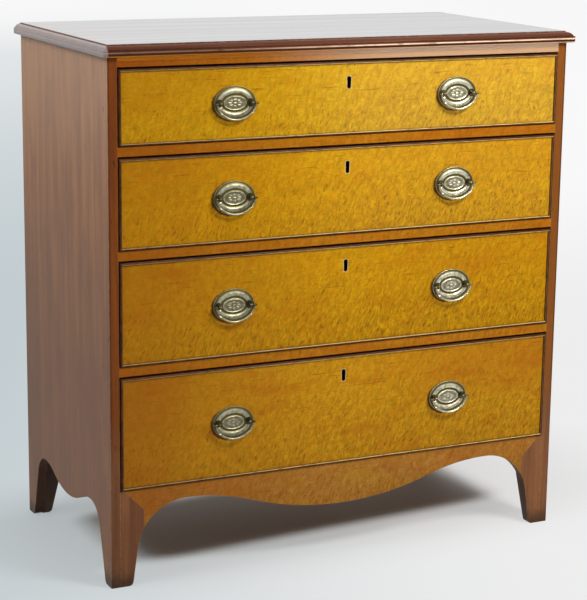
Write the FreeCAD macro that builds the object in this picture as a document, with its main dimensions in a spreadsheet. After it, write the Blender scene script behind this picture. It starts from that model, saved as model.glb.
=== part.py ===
"""Four-drawer chest of drawers with a flat front, as a parametric FreeCAD document.

Frame: +Z up, the front faces -Y, and the origin lies on the floor at the centre of the
chest's plan.  All sizes are in millimetres.
"""
import FreeCAD, Part
import math
import os
import re
import Sketcher
from FreeCAD import Placement, Rotation, Vector

# ---------------------------------------------------------------- driving sizes
SIZES = {
    # carcase
    "case_width": 965.0,
    "case_depth": 497.0,
    "side_thick": 18.5,
    "base_height": 188.5,
    "opening_1": 143.5,
    "opening_2": 173.5,
    "opening_3": 200.5,
    "opening_4": 221.5,
    "rail_height": 17.5,
    "rail_depth": 70.0,
    "top_rail_height": 18.0,
    "rail_setback": 6.0,
    "housing_depth": 8.0,
    "floor_thick": 18.0,
    "back_thick": 12.0,
    "back_lap": 10.0,
    "back_board_gap": 1.0,
    "back_shiplap": 8.0,
    "back_rail_width": 60.0,
    "runner_width": 24.0,
    "kicker_drop": 0.8,
    # moulded top
    "top_thick": 22.5,
    "top_overhang_side": 12.0,
    "top_overhang_front": 12.5,
    "top_overhang_back": 8.0,
    "mould_width": 14.0,
    "mould_step": 2.0,
    "mould_fall": 8.0,
    "mould_fillet": 2.0,
    "nose_round": 3.5,
    # front apron and feet
    "apron_thick": 20.0,
    "apron_peak": 161.0,
    "apron_drop": 106.0,
    "apron_peak_from_edge": 152.5,
    "apron_arch_radius": 100.0,
    "apron_foot_width": 43.0,
    "apron_ogee_share": 0.4,
    "mitre_start": 7.5,
    "mitre_run": 40.5,
    "toe_round": 9.0,
    # side scallop and feet
    "scallop_peak": 143.0,
    "scallop_drop": 111.5,
    "scallop_peak_from_edge": 112.0,
    "scallop_arch_radius": 51.0,
    "scallop_foot_width": 33.0,
    "scallop_ogee_share": 0.4,
    "bracket_thick": 20.0,
    "bracket_top_width": 50.0,
    "bracket_foot_width": 19.0,
    "bracket_height": 120.0,
    "block_size": 18.0,
    "block_length": 50.0,
    "apron_block_inset": 60.0,
    "block_lift": 5.0,
    "foot_block_toe": 15.0,
    "foot_block_head": 50.0,
    # fixings of the top
    "screw_shank_radius": 2.2,
    "screw_head_radius": 4.5,
    "screw_bite": 14.0,
    "screw_inset": 120.0,
    # drawers
    "front_thick": 24.0,
    "front_gap": 1.2,
    "front_top_gap": 3.7,
    "front_side_gap": 1.8,
    "slide_gap": 0.3,
    "drawer_rear_gap": 19.0,
    "drawer_side_thick": 12.0,
    "drawer_side_drop": 4.0,
    "drawer_back_thick": 12.0,
    "drawer_back_drop": 6.0,
    "panel_thick": 6.0,
    "panel_lift": 11.0,
    "panel_tongue": 5.0,
    "panel_play": 1.0,
    "field_thick": 3.0,
    "field_slope": 28.0,
    "tail_length": 12.0,
    "tail_slope": 2.2,
    "tail_pitch": 42.0,
    "pin_width": 9.0,
    "stop_width": 40.0,
    "stop_depth": 18.0,
    "stop_height": 6.0,
    "stop_inset": 160.0,
    # cock beading
    "bead_thick": 5.0,
    "bead_depth": 8.0,
    "bead_proud": 3.5,
    "bead_round": 2.2,
    # locks
    "key_drop": 43.5,
    "key_round_radius": 4.2,
    "key_slot_width": 5.0,
    "key_height": 21.0,
    "escutcheon_line": 1.3,
    "escutcheon_depth": 4.0,
    "lock_width": 60.0,
    "lock_height": 52.0,
    "lock_depth": 12.0,
    "lock_plate": 2.5,
    "key_pin_radius": 1.5,
    "bolt_width": 22.0,
    "bolt_depth": 6.0,
    "bolt_height": 24.0,
    "bolt_gap": 0.3,
    "bolt_travel": 9.0,
    # oval pulls
    "pull_spread": 235.0,
    "plate_width": 84.0,
    "plate_height": 64.0,
    "plate_thick": 1.4,
    "plate_flange": 2.5,
    "band_rise": 2.0,
    "band_outer_slope": 3.0,
    "band_crown": 2.5,
    "band_inner_slope": 6.5,
    "medal_width": 44.0,
    "medal_height": 26.0,
    "medal_rim_width": 2.0,
    "medal_rise": 1.6,
    "medal_dish": 0.7,
    "post_spacing": 63.0,
    "post_reach": 10.5,
    "post_head_radius": 4.0,
    "post_neck_radius": 3.0,
    "post_collar_radius": 5.6,
    "post_collar_rise": 2.4,
    "post_collar_gap": 0.2,
    "post_shank_radius": 2.4,
    "nut_side": 11.0,
    "nut_thick": 3.0,
    "bail_radius": 2.4,
    "bail_width": 82.0,
    "bail_drop": 30.0,
    "bail_belly": 6.5,
    "bail_pin_radius": 1.5,
    "bail_pin_gap": 0.06,
    "bail_shoulder_radius": 2.8,
    "bail_ear_length": 5.8,
    "bail_ear_tip": 0.8,
}
DRAWERS = (1, 2, 3, 4)
BACK_BOARDS = 3

document = FreeCAD.newDocument("chest_of_drawers")
sheet = document.addObject("Spreadsheet::Sheet", "sizes")
for row, (alias, number) in enumerate(SIZES.items(), start=1):
    sheet.set(f"A{row}", alias)
    sheet.set(f"B{row}", str(number))
    sheet.setAlias(f"B{row}", alias)
document.recompute()


def size(alias):
    """The number that the spreadsheet holds under this alias."""
    return float(sheet.get(alias))


def bind(item, target, formula):
    """Bind one property of an object to a formula of spreadsheet aliases."""
    item.setExpression(target, re.sub(r"[a-z]\w*", lambda word: "sizes." + word.group(), formula))


# ---------------------------------------------------------------- formulas used by many pieces
HALF_INSIDE = "(case_width / 2 - side_thick)"
ALL_OPENINGS = "opening_1 + opening_2 + opening_3 + opening_4"
CASE_HEIGHT = f"(base_height + {ALL_OPENINGS} + 3 * rail_height + top_rail_height)"
PULL_REACH = "(post_reach + post_head_radius)"
FRONT_PLANE = f"({PULL_REACH} - case_depth - top_overhang_back) / 2"
DRAWER_LENGTH = "(case_depth - back_thick - drawer_rear_gap)"
OPENING_FLOOR = {4: "(base_height)"}
for drawer in (3, 2, 1):
    OPENING_FLOOR[drawer] = f"({OPENING_FLOOR[drawer + 1]} + opening_{drawer + 1} + rail_height)"
PULL_LEVEL = {drawer: f"({OPENING_FLOOR[drawer]} + (opening_{drawer} + front_gap - front_top_gap) / 2)"
              for drawer in DRAWERS}

half_inside = size("case_width") / 2 - size("side_thick")
half_case = size("case_width") / 2
opening_floor = {4: size("base_height")}
for drawer in (3, 2, 1):
    below = drawer + 1
    opening_floor[drawer] = opening_floor[below] + size(f"opening_{below}") + size("rail_height")
case_height = opening_floor[1] + size("opening_1") + size("top_rail_height")
drawer_length = size("case_depth") - size("back_thick") - size("drawer_rear_gap")
pull_reach = size("post_reach") + size("post_head_radius")
front_plane = (pull_reach - size("case_depth") - size("top_overhang_back")) / 2

nodes = []


# ---------------------------------------------------------------- helpers
def node(item, label):
    """Register a finished piece or group under the name of its node."""
    item.Label = label
    nodes.append(item)
    return item


def new_body(name):
    """A body whose local frame has y = 0 in the plane of the case's front."""
    body = document.addObject("PartDesign::Body", name)
    bind(body, "Placement.Base.y", FRONT_PLANE)
    return body


def sketch_on(body, role, name, offset="0"):
    """A sketch on one of the body's own origin planes, moved along its normal."""
    sketch = body.newObject("Sketcher::SketchObject", name)
    plane = next(item for item in body.Origin.OriginFeatures if item.Role == role)
    sketch.AttachmentSupport = [(plane, "")]
    sketch.MapMode = "FlatFace"
    bind(sketch, "AttachmentOffset.Base.z", offset)
    return sketch


def rectangle(sketch, left, bottom, width, height):
    """A rectangle whose corner and sides are bound to formulas."""
    first = sketch.GeometryCount
    corners = [Vector(0, 0, 0), Vector(1, 0, 0), Vector(1, 1, 0), Vector(0, 1, 0)]
    for start in range(4):
        sketch.addGeometry(Part.LineSegment(corners[start], corners[(start + 1) % 4]))
    for start in range(4):
        sketch.addConstraint(
            Sketcher.Constraint("Coincident", first + start, 2, first + (start + 1) % 4, 1))
    for side, kind in enumerate(("Horizontal", "Vertical", "Horizontal", "Vertical")):
        sketch.addConstraint(Sketcher.Constraint(kind, first + side))
    driven = (
        (("DistanceX", first, 1, first, 2), width),
        (("DistanceY", first + 1, 1, first + 1, 2), height),
        (("DistanceX", -1, 1, first, 1), left),
        (("DistanceY", -1, 1, first, 1), bottom),
    )
    for arguments, formula in driven:
        index = sketch.addConstraint(Sketcher.Constraint(*arguments, 1.0))
        bind(sketch, f"Constraints[{index}]", formula)


def circle(sketch, x, y, radius):
    """A circle whose centre and radius are bound to formulas."""
    index = sketch.addGeometry(Part.Circle(Vector(1, 1, 0), Vector(0, 0, 1), 1))
    driven = (
        (("Radius", index), radius),
        (("DistanceX", -1, 1, index, 3), x),
        (("DistanceY", -1, 1, index, 3), y),
    )
    for arguments, formula in driven:
        constraint = sketch.addConstraint(Sketcher.Constraint(*arguments, 1.0))
        bind(sketch, f"Constraints[{constraint}]", formula)


def curves(path):
    """Lines and arcs through a path: a point is a line's end, a pair is an arc's middle and end."""
    edges = []
    here = path[0]
    for step in path[1:]:
        if isinstance(step[0], tuple):
            middle, end = step
            edges.append(Part.Arc(Vector(*here, 0), Vector(*middle, 0), Vector(*end, 0)))
        else:
            end = step
            edges.append(Part.LineSegment(Vector(*here, 0), Vector(*end, 0)))
        here = end
    return edges


def trace(sketch, path):
    """Draw a closed path of lines and arcs in a sketch."""
    last = path[-1][1] if isinstance(path[-1][0], tuple) else path[-1]
    closing = [] if last == path[0] else [path[0]]
    sketch.addGeometry(curves(path + closing))


def pad(body, sketch, length, reverse=False, midplane=False):
    """Extrude a sketch by a bound length."""
    feature = body.newObject("PartDesign::Pad", sketch.Name + "_pad")
    feature.Profile = sketch
    bind(feature, "Length", length)
    feature.Reversed = reverse
    feature.Midplane = midplane
    return feature


def pocket(body, sketch, length, reverse=False, midplane=False):
    """Cut a sketch's outline to a bound depth, and make sure that it does cut."""
    document.recompute()
    before = body.Shape.Volume
    feature = body.newObject("PartDesign::Pocket", sketch.Name + "_cut")
    feature.Profile = sketch
    bind(feature, "Length", length)
    feature.Reversed = reverse
    feature.Midplane = midplane
    document.recompute()
    if body.Shape.Volume >= before:
        raise RuntimeError(f"{feature.Name} cuts nothing")
    return feature


def box(name, x, y, z, length, width, height):
    """A board as a box: its low corner and its sizes are bound to formulas."""
    board = document.addObject("Part::Box", name)
    bind(board, "Length", length)
    bind(board, "Width", width)
    bind(board, "Height", height)
    bind(board, "Placement.Base.x", x)
    bind(board, "Placement.Base.y", f"{y} + {FRONT_PLANE}")
    bind(board, "Placement.Base.z", z)
    return board


def cylinder(name, radius, height, x, y, z, axis):
    """A round rod from a point along an axis, with its sizes bound to formulas."""
    rod = document.addObject("Part::Cylinder", name)
    bind(rod, "Radius", radius)
    bind(rod, "Height", height)
    rod.Placement = Placement(Vector(), Rotation(Vector(0, 0, 1), axis))
    bind(rod, "Placement.Base.x", x)
    bind(rod, "Placement.Base.y", f"{y} + {FRONT_PLANE}")
    bind(rod, "Placement.Base.z", z)
    return rod


def sphere(name, radius, x, y, z):
    """A ball with its centre and radius bound to formulas."""
    ball = document.addObject("Part::Sphere", name)
    bind(ball, "Radius", radius)
    bind(ball, "Placement.Base.x", x)
    bind(ball, "Placement.Base.y", f"{y} + {FRONT_PLANE}")
    bind(ball, "Placement.Base.z", z)
    return ball


def fuse(name, items):
    """One solid made of several overlapping shapes."""
    union = document.addObject("Part::MultiFuse", name)
    union.Shapes = items
    union.Refine = True
    return union


def cut(name, base, tool):
    """A shape with another taken out of it."""
    result = document.addObject("Part::Cut", name)
    result.Base = base
    result.Tool = tool
    return result


def group(label, items):
    """Several separate pieces that share one node."""
    compound = document.addObject("Part::Compound", label)
    compound.Links = items
    return node(compound, label)


# ---------------------------------------------------------------- shared curves
def worn_toe(toe, inward, lean):
    """Where a foot's sole ends, and the arc that leads from there round its worn toe."""
    worn = size("toe_round")
    trim = worn * math.tan(lean / 2)
    nearness = worn / math.hypot(trim, worn)
    sole_end = (toe - inward * trim, 0.0)
    middle = (sole_end[0] + inward * trim * nearness, worn * (1 - nearness))
    cheek = (toe + inward * trim * math.cos(lean), trim * math.sin(lean))
    return sole_end, (middle, cheek)


def ogee_half(edge, peak_from_edge, peak, drop, centre, arch, foot, share):
    """Points from the foot on the floor, over the arch, to the middle drop of a scalloped edge.

    edge is the outer edge's coordinate and centre is the middle's.  The foot's inner side is a
    line that runs into the arch, and two tangent arcs make the ogee from the arch to the drop.
    The toe, where that line meets the floor, is worn round.
    """
    inward = 1 if centre > edge else -1
    top = (edge + inward * peak_from_edge, peak)
    toe = (edge + inward * foot, 0.0)
    arch_centre = (top[0], peak - arch)
    reach = math.hypot(arch_centre[0] - toe[0], arch_centre[1] - toe[1])
    heading = math.atan2(arch_centre[1] - toe[1], inward * (arch_centre[0] - toe[0]))
    lean = heading + math.asin(arch / reach)
    run = math.sqrt(reach ** 2 - arch ** 2)
    spring = (toe[0] + inward * run * math.cos(lean), toe[1] + run * math.sin(lean))
    start_angle = math.atan2(spring[1] - arch_centre[1], inward * (spring[0] - arch_centre[0]))
    middle_angle = (start_angle + math.pi / 2) / 2
    arch_middle = (arch_centre[0] + inward * arch * math.cos(middle_angle),
                   arch_centre[1] + arch * math.sin(middle_angle))
    span = abs(centre - top[0])
    fall = peak - drop
    radii = (span ** 2 + fall ** 2) / (2 * fall)
    upper = radii * share
    turn = math.asin(span / radii)
    joint = (top[0] + inward * upper * math.sin(turn), peak - upper * (1 - math.cos(turn)))
    upper_middle = (top[0] + inward * upper * math.sin(turn / 2),
                    peak - upper * (1 - math.cos(turn / 2)))
    lower = radii - upper
    lower_middle = (centre - inward * lower * math.sin(turn / 2),
                    drop + lower * (1 - math.cos(turn / 2)))
    return (*worn_toe(toe[0], inward, lean), spring, (arch_middle, top), (upper_middle, joint),
            (lower_middle, (centre, drop)))


def reversed_path(points):
    """The same path walked the other way."""
    ends = [step[1] if isinstance(step[0], tuple) else step for step in points]
    backwards = [ends[-1]]
    for index in range(len(points) - 1, 0, -1):
        step = points[index]
        target = ends[index - 1]
        backwards.append((step[0], target) if isinstance(step[0], tuple) else target)
    return backwards


def tails(bottom, top):
    """Lower and upper edges, at the shoulder line, of each dovetail on an upright edge."""
    height = top - bottom
    count = max(2, round(height / size("tail_pitch")))
    pin = size("pin_width")
    pitch = (height - pin) / count
    return [(bottom + pin + index * pitch, bottom + (index + 1) * pitch) for index in range(count)]


def tail_path(tip, shoulder, low, high):
    """A dovetail's outline, wider at its tip than at its shoulder."""
    flare = size("tail_slope")
    return [(shoulder, low), (tip, low - flare), (tip, high + flare), (shoulder, high)]


# ---------------------------------------------------------------- the moulded top
def make_top():
    """A board with a thumbnail moulding on its front and two ends."""
    thick = size("top_thick")
    rim = size("mould_width")
    step = size("mould_step")
    fall = size("mould_fall")
    fillet = size("mould_fillet")
    nose = size("nose_round")
    run = rim - fillet
    sweep = (run ** 2 + fall ** 2) / (2 * fall)
    turn = math.asin(run / sweep) / 2
    crown = thick - step
    round_middle = (rim - sweep * math.sin(turn), crown - sweep * (1 - math.cos(turn)))
    nose_middle = nose * (1 - math.sqrt(0.5))
    edge = [
        (rim, thick),
        (rim, crown),
        (round_middle, (fillet, crown - fall)),
        (0.0, crown - fall),
        (0.0, nose),
        ((nose_middle, nose_middle), (nose, 0.0)),
    ]

    def shifted(path, start, direction):
        moved = []
        for item in path:
            if isinstance(item[0], tuple):
                moved.append(tuple((start + direction * u, v) for u, v in item))
            else:
                moved.append((start + direction * item[0], item[1]))
        return moved

    body = new_body("top_board")
    bind(body, "Placement.Base.z", CASE_HEIGHT)
    back = size("case_depth") + size("top_overhang_back")
    section = sketch_on(body, "YZ_Plane", "top_section")
    trace(section, [(back, thick)] + shifted(edge, -size("top_overhang_front"), 1) + [(back, 0.0)])
    pad(body, section, "case_width + 2 * top_overhang_side", midplane=True)
    end = half_case + size("top_overhang_side")
    clear = end + rim
    ends = sketch_on(body, "XZ_Plane", "top_end_moulding")
    for side in (-1, 1):
        trace(ends, [(side * clear, thick + rim), (side * (end - rim), thick + rim)]
              + shifted(edge, side * end, -side)
              + [(side * (end - nose), -rim), (side * clear, -rim)])
    pocket(body, ends, "2 * (case_depth + top_overhang_back + top_overhang_front)", midplane=True)
    holes = sketch_on(body, "XY_Plane", "top_screw_holes")
    for x, y in screw_places():
        circle(holes, x, y, "screw_shank_radius")
    pocket(body, holes, "screw_bite", reverse=True)
    node(body, "top_board")


def screw_places():
    """Formulas for the screws that hold the top to its front and back rails."""
    columns = (f"-{HALF_INSIDE} + screw_inset", "0 * screw_inset", f"{HALF_INSIDE} - screw_inset")
    rows = ("rail_depth / 2", "case_depth - back_thick - back_rail_width / 2")
    return [(x, y) for y in rows for x in columns]


def countersink(body, places):
    """Conical seats for the screw heads in a rail's underside."""
    document.recompute()
    for number, (x, y) in enumerate(places):
        seat = body.newObject("PartDesign::SubtractiveCone", f"{body.Name}_seat_{number}")
        bind(seat, "Radius1", "screw_head_radius")
        bind(seat, "Radius2", "screw_shank_radius")
        bind(seat, "Height", "screw_head_radius - screw_shank_radius")
        bind(seat, "Placement.Base.x", x)
        bind(seat, "Placement.Base.y", y)


def make_top_screws():
    """Countersunk screws driven up through the rails into the top."""
    screws = []
    for number, (x, y) in enumerate(screw_places()):
        foot = f"{CASE_HEIGHT} - top_rail_height"
        head = document.addObject("Part::Cone", f"screw_head_{number}")
        bind(head, "Radius1", "screw_head_radius")
        bind(head, "Radius2", "screw_shank_radius")
        bind(head, "Height", "screw_head_radius - screw_shank_radius")
        bind(head, "Placement.Base.x", x)
        bind(head, "Placement.Base.y", f"{y} + {FRONT_PLANE}")
        bind(head, "Placement.Base.z", foot)
        shank = cylinder(f"screw_shank_{number}", "screw_shank_radius",
                         "top_rail_height + screw_bite", x, y, foot, Vector(0, 0, 1))
        screws.append(fuse(f"screw_{number}", [head, shank]))
    group("top_screws", screws)


# ---------------------------------------------------------------- the carcase
def make_side(hand):
    """One side board with its two feet, housings and back rabbet; hand is -1 left, 1 right."""
    name = "side_left" if hand < 0 else "side_right"
    body = new_body(name)
    bind(body, "Placement.Base.x", "-case_width / 2" if hand < 0 else HALF_INSIDE)
    depth = size("case_depth")
    shape = (size("scallop_peak_from_edge"), size("scallop_peak"), size("scallop_drop"), depth / 2,
             size("scallop_arch_radius"), size("scallop_foot_width"), size("scallop_ogee_share"))
    front_half = list(ogee_half(0.0, *shape))
    rear_half = list(ogee_half(depth, *shape))
    outline = sketch_on(body, "YZ_Plane", name + "_outline")
    trace(outline, [(0.0, 0.0), (0.0, case_height), (depth, case_height), (depth, 0.0)]
          + rear_half + reversed_path(front_half)[1:])
    pad(body, outline, "side_thick")
    inner_face = "side_thick" if hand < 0 else "0"
    into_board = hand > 0
    housings = sketch_on(body, "YZ_Plane", name + "_housings", inner_face)
    for drawer in (1, 2, 3):
        rectangle(housings, "rail_setback", f"{OPENING_FLOOR[drawer]} - rail_height",
                  "rail_depth - rail_setback", "rail_height")
    rectangle(housings, "rail_setback", f"{CASE_HEIGHT} - top_rail_height",
              "rail_depth - rail_setback", "top_rail_height")
    rectangle(housings, "apron_thick", "base_height - floor_thick",
              "case_depth - back_thick - apron_thick", "floor_thick")
    pocket(body, housings, "housing_depth", reverse=into_board)
    rabbet = sketch_on(body, "YZ_Plane", name + "_rabbet", inner_face)
    rectangle(rabbet, "case_depth - back_thick", "base_height - floor_thick",
              "back_thick", f"{CASE_HEIGHT} - base_height + floor_thick")
    pocket(body, rabbet, "back_lap", reverse=into_board)
    node(body, name)


def rail_body(name, floor, height):
    """A front rail with stopped tenons at its ends."""
    body = new_body(name)
    bind(body, "Placement.Base.z", floor)
    plan = sketch_on(body, "XY_Plane", name + "_plan")
    half = half_inside
    tip = half_inside + size("housing_depth")
    set_back = size("rail_setback")
    deep = size("rail_depth")
    trace(plan, [(-half, 0.0), (half, 0.0), (half, set_back), (tip, set_back), (tip, deep),
                 (-tip, deep), (-tip, set_back), (-half, set_back)])
    pad(body, plan, height)
    mortise = sketch_on(body, "XY_Plane", name + "_bolt_mortise")
    rectangle(mortise, "-bolt_width / 2 - bolt_gap * 2",
              "front_thick - lock_depth / 2 - bolt_depth / 2 - bolt_gap * 2",
              "bolt_width + bolt_gap * 4", "bolt_depth + bolt_gap * 4")
    pocket(body, mortise, "bolt_travel + bolt_gap * 4", reverse=True)
    return body


def make_rails():
    """The rail under the top and the three rails between the drawers."""
    top_rail = rail_body("top_rail", f"{CASE_HEIGHT} - top_rail_height", "top_rail_height")
    holes = sketch_on(top_rail, "XY_Plane", "top_rail_holes")
    for x, y in screw_places()[:3]:
        circle(holes, x, y, "screw_shank_radius")
    pocket(top_rail, holes, "top_rail_height", reverse=True)
    countersink(top_rail, screw_places()[:3])
    node(top_rail, "top_rail")
    dividers = [rail_body(f"divider_{drawer}", f"{OPENING_FLOOR[drawer]} - rail_height", "rail_height")
                for drawer in (1, 2, 3)]
    group("drawer_dividers", dividers)
    back_rail = new_body("top_back_rail")
    bind(back_rail, "Placement.Base.z", f"{CASE_HEIGHT} - top_rail_height")
    plan = sketch_on(back_rail, "XY_Plane", "back_rail_plan")
    rectangle(plan, f"-{HALF_INSIDE}", "case_depth - back_thick - back_rail_width",
              f"2 * {HALF_INSIDE}", "back_rail_width")
    pad(back_rail, plan, "top_rail_height")
    holes = sketch_on(back_rail, "XY_Plane", "back_rail_holes")
    for x, y in screw_places()[3:]:
        circle(holes, x, y, "screw_shank_radius")
    pocket(back_rail, holes, "top_rail_height", reverse=True)
    countersink(back_rail, screw_places()[3:])
    node(back_rail, "top_back_rail")


def make_back_board(number):
    """One ship-lapped back board: its lower edge laps over the board below on the outside."""
    bottom = size("base_height") - size("floor_thick")
    pitch = (case_height - bottom) / BACK_BOARDS
    low = bottom + number * pitch
    high = low + pitch - size("back_board_gap")
    outside = size("case_depth")
    inside = outside - size("back_thick")
    middle = outside - size("back_thick") / 2
    lap = size("back_shiplap")
    outer_low = low if number == 0 else low - lap
    outer_high = high if number == BACK_BOARDS - 1 else high - lap
    board = new_body(f"back_board_{number + 1}")
    section = sketch_on(board, "YZ_Plane", f"back_board_{number + 1}_section")
    outline = [(inside, low), (middle, low), (middle, outer_low), (outside, outer_low),
               (outside, outer_high), (middle, outer_high), (middle, high), (inside, high)]
    trace(section, [point for index, point in enumerate(outline) if point != outline[index - 1]])
    pad(board, section, f"2 * {HALF_INSIDE} + 2 * back_lap", midplane=True)
    return board


def make_inside():
    """Case bottom, back boards, runners, kickers and drawer stops."""
    node(box("case_bottom", f"-{HALF_INSIDE} - housing_depth", "apron_thick",
             "base_height - floor_thick", f"2 * {HALF_INSIDE} + 2 * housing_depth",
             "case_depth - back_thick - apron_thick", "floor_thick"), "case_bottom")
    group("back_boards", [make_back_board(number) for number in range(BACK_BOARDS)])
    runners = []
    for hand, low in ((-1, f"-{HALF_INSIDE}"), (1, f"{HALF_INSIDE} - runner_width")):
        side = "left" if hand < 0 else "right"
        for drawer in (1, 2, 3):
            runners.append(box(f"runner_{drawer}_{side}", low, "rail_depth",
                               f"{OPENING_FLOOR[drawer]} - rail_height", "runner_width",
                               "case_depth - back_thick - rail_depth", "rail_height"))
        runners.append(box(f"kicker_{side}", low, "rail_depth",
                           f"{CASE_HEIGHT} - top_rail_height + kicker_drop", "runner_width",
                           "case_depth - back_thick - back_rail_width - rail_depth",
                           "top_rail_height - kicker_drop"))
    group("drawer_runners", runners)
    stops = []
    for drawer in DRAWERS:
        for hand in (-1, 1):
            side = "left" if hand < 0 else "right"
            stops.append(box(f"stop_{drawer}_{side}",
                             f"{hand} * ({HALF_INSIDE} - stop_inset) - stop_width / 2",
                             "front_thick + slide_gap", OPENING_FLOOR[drawer],
                             "stop_width", "stop_depth", "stop_height"))
    group("drawer_stops", stops)


def front_edge(hand):
    """The scalloped line of the front, from one foot to the middle; hand is -1 left, 1 right."""
    return list(ogee_half(hand * half_case, size("apron_peak_from_edge"), size("apron_peak"),
                          size("apron_drop"), 0.0, size("apron_arch_radius"),
                          size("apron_foot_width"), size("apron_ogee_share")))


def arch_height(offset):
    """Height of the arch's underside at this distance from the middle."""
    run = offset - (half_case - size("apron_peak_from_edge"))
    radius = size("apron_arch_radius")
    return size("apron_peak") - radius + math.sqrt(radius ** 2 - run ** 2)


def make_apron():
    """The serpentine apron and the two front feet, mitred together."""
    head = half_inside - size("mitre_start")
    joint = head - size("mitre_run")
    mitre_foot = size("base_height") - size("mitre_run")
    radius = size("apron_arch_radius")
    peak_x = half_case - size("apron_peak_from_edge")
    centre_z = size("apron_peak") - radius
    cut_z = arch_height(joint)
    cut_angle = math.atan2(cut_z - centre_z, joint - peak_x)

    def arch_point(angle, hand):
        return (hand * (peak_x + radius * math.cos(angle)), centre_z + radius * math.sin(angle))

    board = new_body("apron")
    face = sketch_on(board, "XZ_Plane", "apron_face")
    left = front_edge(-1)
    right = front_edge(1)
    middle_angle = (cut_angle + math.pi / 2) / 2
    path = [(-head, size("base_height")), (-joint, mitre_foot), (-joint, cut_z),
            (arch_point(middle_angle, -1), (-peak_x, size("apron_peak")))]
    path += left[4:]
    path += reversed_path(right)[1:3]
    path += [(arch_point(middle_angle, 1), (joint, cut_z)), (joint, mitre_foot),
             (head, size("base_height"))]
    trace(face, path)
    pad(board, face, "apron_thick", reverse=True)
    node(board, "apron")
    for hand, side in ((-1, "left"), (1, "right")):
        foot = new_body(f"front_foot_{side}")
        face = sketch_on(foot, "XZ_Plane", f"foot_{side}_face")
        sole_end, rounding, spring = front_edge(hand)[:3]
        spring_angle = math.atan2(spring[1] - centre_z, hand * spring[0] - peak_x)
        bend = arch_point((spring_angle + cut_angle) / 2, hand)
        trace(face, [(hand * half_inside, 0.0), sole_end, rounding, spring,
                     (bend, (hand * joint, cut_z)), (hand * joint, mitre_foot),
                     (hand * head, size("base_height")), (hand * half_inside, size("base_height"))])
        pad(foot, face, "apron_thick", reverse=True)
        node(foot, f"front_foot_{side}")


def corner_piece(name, start, thick, outline):
    """A piece inside a foot, drawn in the plane that lies this far behind the front."""
    piece = new_body(name)
    face = sketch_on(piece, "XZ_Plane", name + "_face", f"-({start})")
    trace(face, outline)
    pad(piece, face, thick, reverse=True)
    return piece


def make_brackets():
    """Rear foot brackets, and the glue blocks behind the front feet and the apron."""
    brackets = []
    blocks = []
    top = size("base_height") - size("floor_thick")
    spread = size("bracket_top_width") - size("bracket_foot_width")
    lean = math.atan2(size("bracket_height"), spread)
    for hand, side in ((-1, "left"), (1, "right")):
        outer = hand * half_inside
        toe = outer - hand * size("bracket_foot_width")
        knee = outer - hand * size("bracket_top_width")
        brackets.append(corner_piece(
            f"rear_bracket_{side}", "case_depth - back_thick - bracket_thick", "bracket_thick",
            [(outer, 0.0), *worn_toe(toe, -hand, lean), (knee, size("bracket_height")), (knee, top),
             (outer, top)]))
        low = size("block_lift")
        blocks.append(corner_piece(
            f"foot_block_{side}", "apron_thick", "block_size",
            [(outer, low), (outer - hand * size("foot_block_toe"), low),
             (outer - hand * size("foot_block_head"), top), (outer, top)]))
        for name, inset in (("inner", "apron_block_inset"), ("outer", "3 * apron_block_inset")):
            blocks.append(box(f"apron_block_{side}_{name}", f"{hand} * {inset} - block_length / 2",
                              "apron_thick", "base_height - floor_thick - block_size",
                              "block_length", "block_size", "block_size"))
    group("rear_foot_brackets", brackets)
    group("glue_blocks", blocks)


# ---------------------------------------------------------------- drawers
def drawer_levels(drawer):
    """Heights above the floor of a drawer's front, sides and back."""
    floor = opening_floor[drawer]
    ceiling = floor + size(f"opening_{drawer}")
    return {
        "front_low": floor + size("front_gap"),
        "front_high": ceiling - size("front_top_gap"),
        "side_low": floor + size("slide_gap"),
        "side_high": ceiling - size("drawer_side_drop"),
        "back_low": floor + size("panel_lift") + size("panel_thick"),
        "back_high": ceiling - size("drawer_side_drop") - size("drawer_back_drop"),
    }


def keyhole_path(centre, grow):
    """A keyhole: round above, with a slot that runs down; grow widens it all round."""
    half_slot = size("key_slot_width") / 2 + grow
    radius = size("key_round_radius") + grow
    round_z = centre + size("key_height") / 2 - size("key_round_radius")
    foot = centre - size("key_height") / 2 - grow
    join = round_z - math.sqrt(radius ** 2 - half_slot ** 2)
    return [(-half_slot, foot + half_slot), (-half_slot, join),
            ((0.0, round_z + radius), (half_slot, join)), (half_slot, foot + half_slot),
            ((0.0, foot), (-half_slot, foot + half_slot))]


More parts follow.
